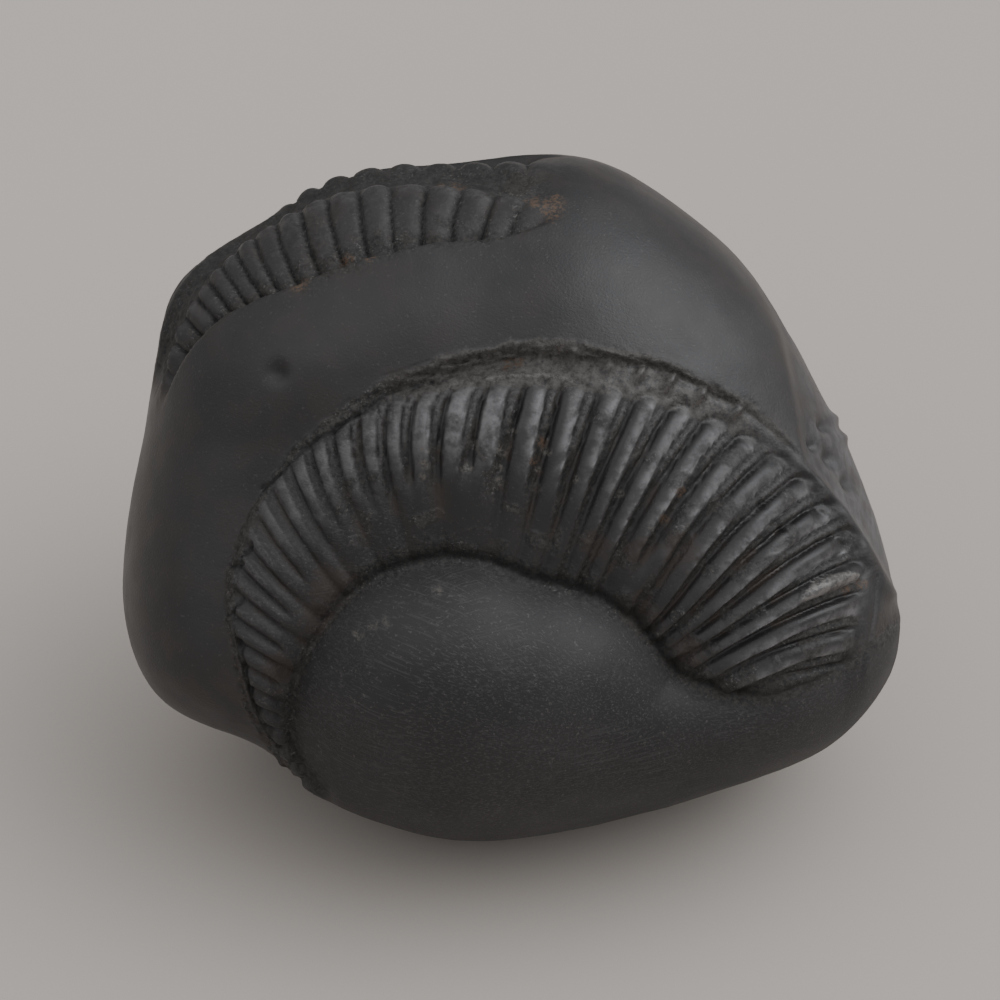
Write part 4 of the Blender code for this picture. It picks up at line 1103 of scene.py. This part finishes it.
# ---- shader nodes ----
class Nodes:
    """Adds shader nodes to one tree.  A value is a number, a colour or another node's output."""

    def __init__(self, tree):
        """Keep the tree that the nodes go into."""
        self.tree = tree

    def give(self, socket, value):
        """Link or set one input, with full opacity added to a colour."""
        if isinstance(value, bpy.types.NodeSocket):
            self.tree.links.new(value, socket)
        else:
            socket.default_value = (*value, 1.0) if socket.type == "RGBA" else value

    def add(self, kind, values, **settings):
        """A node with its settings and its inputs."""
        made = self.tree.nodes.new(kind)
        for name, value in settings.items():
            setattr(made, name, value)
        for name, value in values.items():
            self.give(made.inputs[name], value)
        return made

    def maths(self, operation, first, second=0.0):
        """Sum of two numbers, their product and so on."""
        made = self.add("ShaderNodeMath", {0: first, 1: second}, operation=operation)
        return made.outputs[0]

    def plus(self, first, second):
        """Sum of two numbers."""
        return self.maths("ADD", first, second)

    def times(self, first, second):
        """Product of two numbers."""
        return self.maths("MULTIPLY", first, second)

    def vector(self, operation, **values):
        """Result of a vector sum, whose inputs are a, b and Scale."""
        named = {{"a": 0, "b": 1}.get(name, name): value for name, value in values.items()}
        made = self.add("ShaderNodeVectorMath", named, operation=operation)
        return made.outputs["Value" if operation == "DOT_PRODUCT" else "Vector"]

    def mask(self, name):
        """A share that the mesh carries."""
        return self.add("ShaderNodeAttribute", {}, attribute_name=name).outputs["Fac"]

    def grain(self, size, detail=2.0, rough=0.5, stretch=None, turn=0.0):
        """Noise between 0 and 1 whose lumps are about size millimetres across.

        A stretch below 1 draws the lumps out along x, after a turn about z.
        """
        place = self.add("ShaderNodeTexCoord", {}).outputs["Object"]
        if stretch:
            values = {"Vector": place, "Rotation": (0.0, 0.0, turn * DEG)}
            place = self.add("ShaderNodeMapping", values).outputs[0]
            values = {"Vector": place, "Scale": (stretch, 1.0, 1.0)}
            place = self.add("ShaderNodeMapping", values).outputs[0]
        values = {"Vector": place, "Scale": 1.0 / (size * MM), "Detail": detail,
                  "Roughness": rough}
        return self.add("ShaderNodeTexNoise", values).outputs["Fac"]

    def ramp(self, value, low, high, first=0.0, last=1.0):
        """Ease from first at low to last at high."""
        values = {"Value": value, "From Min": low, "From Max": high, "To Min": first,
                  "To Max": last}
        made = self.add("ShaderNodeMapRange", values, interpolation_type="SMOOTHSTEP")
        return made.outputs[0]

    def over(self, share, under, top):
        """One colour laid over another where share is 1."""
        made = self.add("ShaderNodeMix", {}, data_type="RGBA")
        for index, value in ((0, share), (6, under), (7, top)):
            self.give(made.inputs[index], value)
        return made.outputs[2]


# ---- the stone's material ----
def long_scratches(make):
    """Fine scratches in two directions across the face, 1 where there is one."""
    first = make.grain(0.28, 3.0, 0.6, stretch=0.02, turn=30.0)
    second = make.grain(0.26, 3.0, 0.6, stretch=0.03, turn=-20.0)
    patches = make.ramp(make.grain(9.0), 0.42, 0.62)
    second = make.times(make.ramp(second, 0.50, 0.66), patches)
    return make.maths("MAXIMUM", make.ramp(first, 0.50, 0.66), second)


def stone_colour(make, masks):
    """Black stone with layer over layer of grit, wear with a painted sheen, a painted reflection,
    dust, stain and painted shade, the last on top.
    """
    grit = make.ramp(make.grain(0.55, 4.0, 0.7), 0.42, 0.58)
    settled = make.ramp(make.grain(0.8, 5.0, 0.8), 0.38, 0.60, 0.10, 1.0)
    dust = make.over(make.ramp(make.grain(0.6, 4.0, 0.75), 0.38, 0.62), *DUST)
    fleck = make.ramp(make.grain(0.42), 0.63, 0.72)
    fleck = make.times(fleck, make.plus(make.times(masks["matt"], 0.30), 0.25))
    scratch = make.times(make.times(long_scratches(make), masks["matt"]), 0.32)
    blotch = make.ramp(make.grain(2.2, 5.0, 0.65), 0.36, 0.62, 0.20, 0.72)
    streak = make.grain(1.4, 5.0, 0.7, stretch=0.3, turn=60.0)
    streak = make.ramp(streak, 0.35, 0.65, 0.35, 1.0)
    speck = make.times(masks["rough"], make.ramp(make.grain(0.38), 0.60, 0.68))
    speck = make.times(speck, make.ramp(make.grain(4.0, 3.0), 0.40, 0.60, 0.15, 0.75))
    brown = make.times(masks["deep"], make.ramp(make.grain(5.0, 3.0), 0.45, 0.62))
    scraped = make.times(masks["pale"], make.ramp(make.grain(0.5, 4.0, 0.7), 0.36, 0.60))
    layers = (
        (fleck, (0.10, 0.095, 0.09)),
        (scratch, (0.085, 0.083, 0.082)),
        # rubbed wear with a painted sheen on the ribs
        (make.times(masks["wear_and_sheen"], blotch), (0.175, 0.173, 0.178)),
        # painted reflection on the worn facet, in streaks
        (make.times(masks["facet"], streak), (0.080, 0.079, 0.083)),
        (masks["rough"], dust),
        (speck, (0.15, 0.145, 0.14)),
        (make.times(masks["stain"], 0.5), (0.036, 0.025, 0.019)),
        (make.times(brown, 0.8), (0.034, 0.025, 0.019)),
        (make.times(scraped, 0.7), (0.085, 0.083, 0.084)),
        # painted shade, near black, in the grooves, seam, cracks and pits
        (make.times(masks["painted_shade"], 0.75), (0.006, 0.006, 0.006)),
        (make.times(masks["dusty"], settled), (0.082, 0.077, 0.072)),
        (make.times(masks["flake"], settled), (0.150, 0.143, 0.135)),
        (make.times(masks["chalk"], grit), (0.085, 0.078, 0.070)),
        (make.times(masks["rust"], grit), (0.080, 0.050, 0.032)),
    )
    colour = make.over(make.ramp(make.grain(14.0, 4.0), 0.35, 0.65), *BLACK)
    for share, tone in layers:
        colour = make.over(share, colour, tone)
    return colour


def stone_material(mask_names):
    """Worn black stone: satin where it is worn, dull and dusty where it is broken."""
    material = bpy.data.materials.new("worn_black_stone")
    material.use_nodes = True
    make = Nodes(material.node_tree)
    shader = material.node_tree.nodes["Principled BSDF"]
    masks = {name: make.mask(name) for name in mask_names}
    make.give(shader.inputs["Base Color"], stone_colour(make, masks))

    dull = make.ramp(make.grain(9.0, 4.0), 0.3, 0.7, *SATIN)
    dull = make.plus(dull, make.times(masks["rough"], 0.36))
    dull = make.plus(dull, make.times(masks["matt"], 0.16))
    dull = make.maths("SUBTRACT", dull, make.times(masks["flute"], 0.06))
    make.give(shader.inputs["Roughness"], dull)
    shader.inputs["Specular IOR Level"].default_value = 0.45

    scored = make.times(long_scratches(make), make.plus(masks["matt"], 0.3))
    fine = make.plus(make.times(make.grain(0.35, 3.0), 0.22), make.times(scored, -0.09))
    height = make.plus(fine, make.times(masks["rough"], make.grain(0.55, 4.0, 0.75)))
    values = {"Height": height, "Strength": 1.0, "Distance": GRAIN_DEPTH * MM}
    make.give(shader.inputs["Normal"], make.add("ShaderNodeBump", values).outputs["Normal"])
    return material


# ---- floor, light and camera ----
def add_floor():
    """A plain pale floor, large enough to fill every view."""
    mesh = bpy.data.meshes.new("floor")
    bm = bmesh.new()
    bmesh.ops.create_grid(bm, x_segments=1, y_segments=1, size=1.5)
    bm.to_mesh(mesh)
    bm.free()
    floor = bpy.data.objects.new("floor", mesh)
    bpy.context.scene.collection.objects.link(floor)
    material = bpy.data.materials.new("pale_floor")
    material.use_nodes = True
    shader = material.node_tree.nodes["Principled BSDF"]
    shader.inputs["Base Color"].default_value = FLOOR
    shader.inputs["Roughness"].default_value = 0.9
    mesh.materials.append(material)


def towards(azimuth, elevation):
    """Direction at an azimuth counted from the front round by the right."""
    level = math.cos(elevation * DEG)
    return (level * math.sin(azimuth * DEG), -level * math.cos(azimuth * DEG),
            math.sin(elevation * DEG))


def add_light():
    """A dim room with broad soft lights all round: SKY gives the place and spread of each."""
    world = bpy.data.worlds.new("studio")
    bpy.context.scene.world = world
    world.use_nodes = True
    make = Nodes(world.node_tree)
    direction = make.add("ShaderNodeTexCoord", {}).outputs["Generated"]
    colour = ROOM
    for azimuth, elevation, spread, strength, tint in SKY:
        near = make.vector("DOT_PRODUCT", a=direction, b=towards(azimuth, elevation))
        off = make.maths("DIVIDE", make.maths("SUBTRACT", near, 1.0), 1.0 - math.cos(spread * DEG))
        glow = make.times(make.maths("EXPONENT", off), strength)
        colour = make.vector("ADD", a=make.vector("SCALE", a=tint, Scale=glow), b=colour)
    make.give(world.node_tree.nodes["Background"].inputs["Color"], colour)


def add_camera():
    """The camera looks down at the stone from the front, as far off as the face was laid out."""
    data = bpy.data.cameras.new("camera")
    data.sensor_width = 36.0
    data.lens = data.sensor_width * EYE_DISTANCE / VIEW_WIDTH
    data.shift_x = -0.010
    data.clip_start = 0.01
    camera = bpy.data.objects.new("camera", data)
    bpy.context.scene.collection.objects.link(camera)
    back = Vector((0.0, -math.cos(CAMERA_UP * DEG), math.sin(CAMERA_UP * DEG)))
    camera.location = TARGET + back * (EYE_DISTANCE * MM)
    camera.rotation_euler = back.to_track_quat("Z", "Y").to_euler()
    bpy.context.scene.camera = camera


def build():
    """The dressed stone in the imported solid's place, on its floor, lit and seen."""
    stone = bpy.data.objects.new("worn_stone", stone_mesh())
    bpy.context.scene.collection.objects.link(stone)
    stone.data.materials.append(stone_material(MASKS))
    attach(stone, "root")
    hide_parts("shaligram_stone")
    print("triangles", len(stone.data.polygons))
    add_floor()
    add_light()
    add_camera()


build()
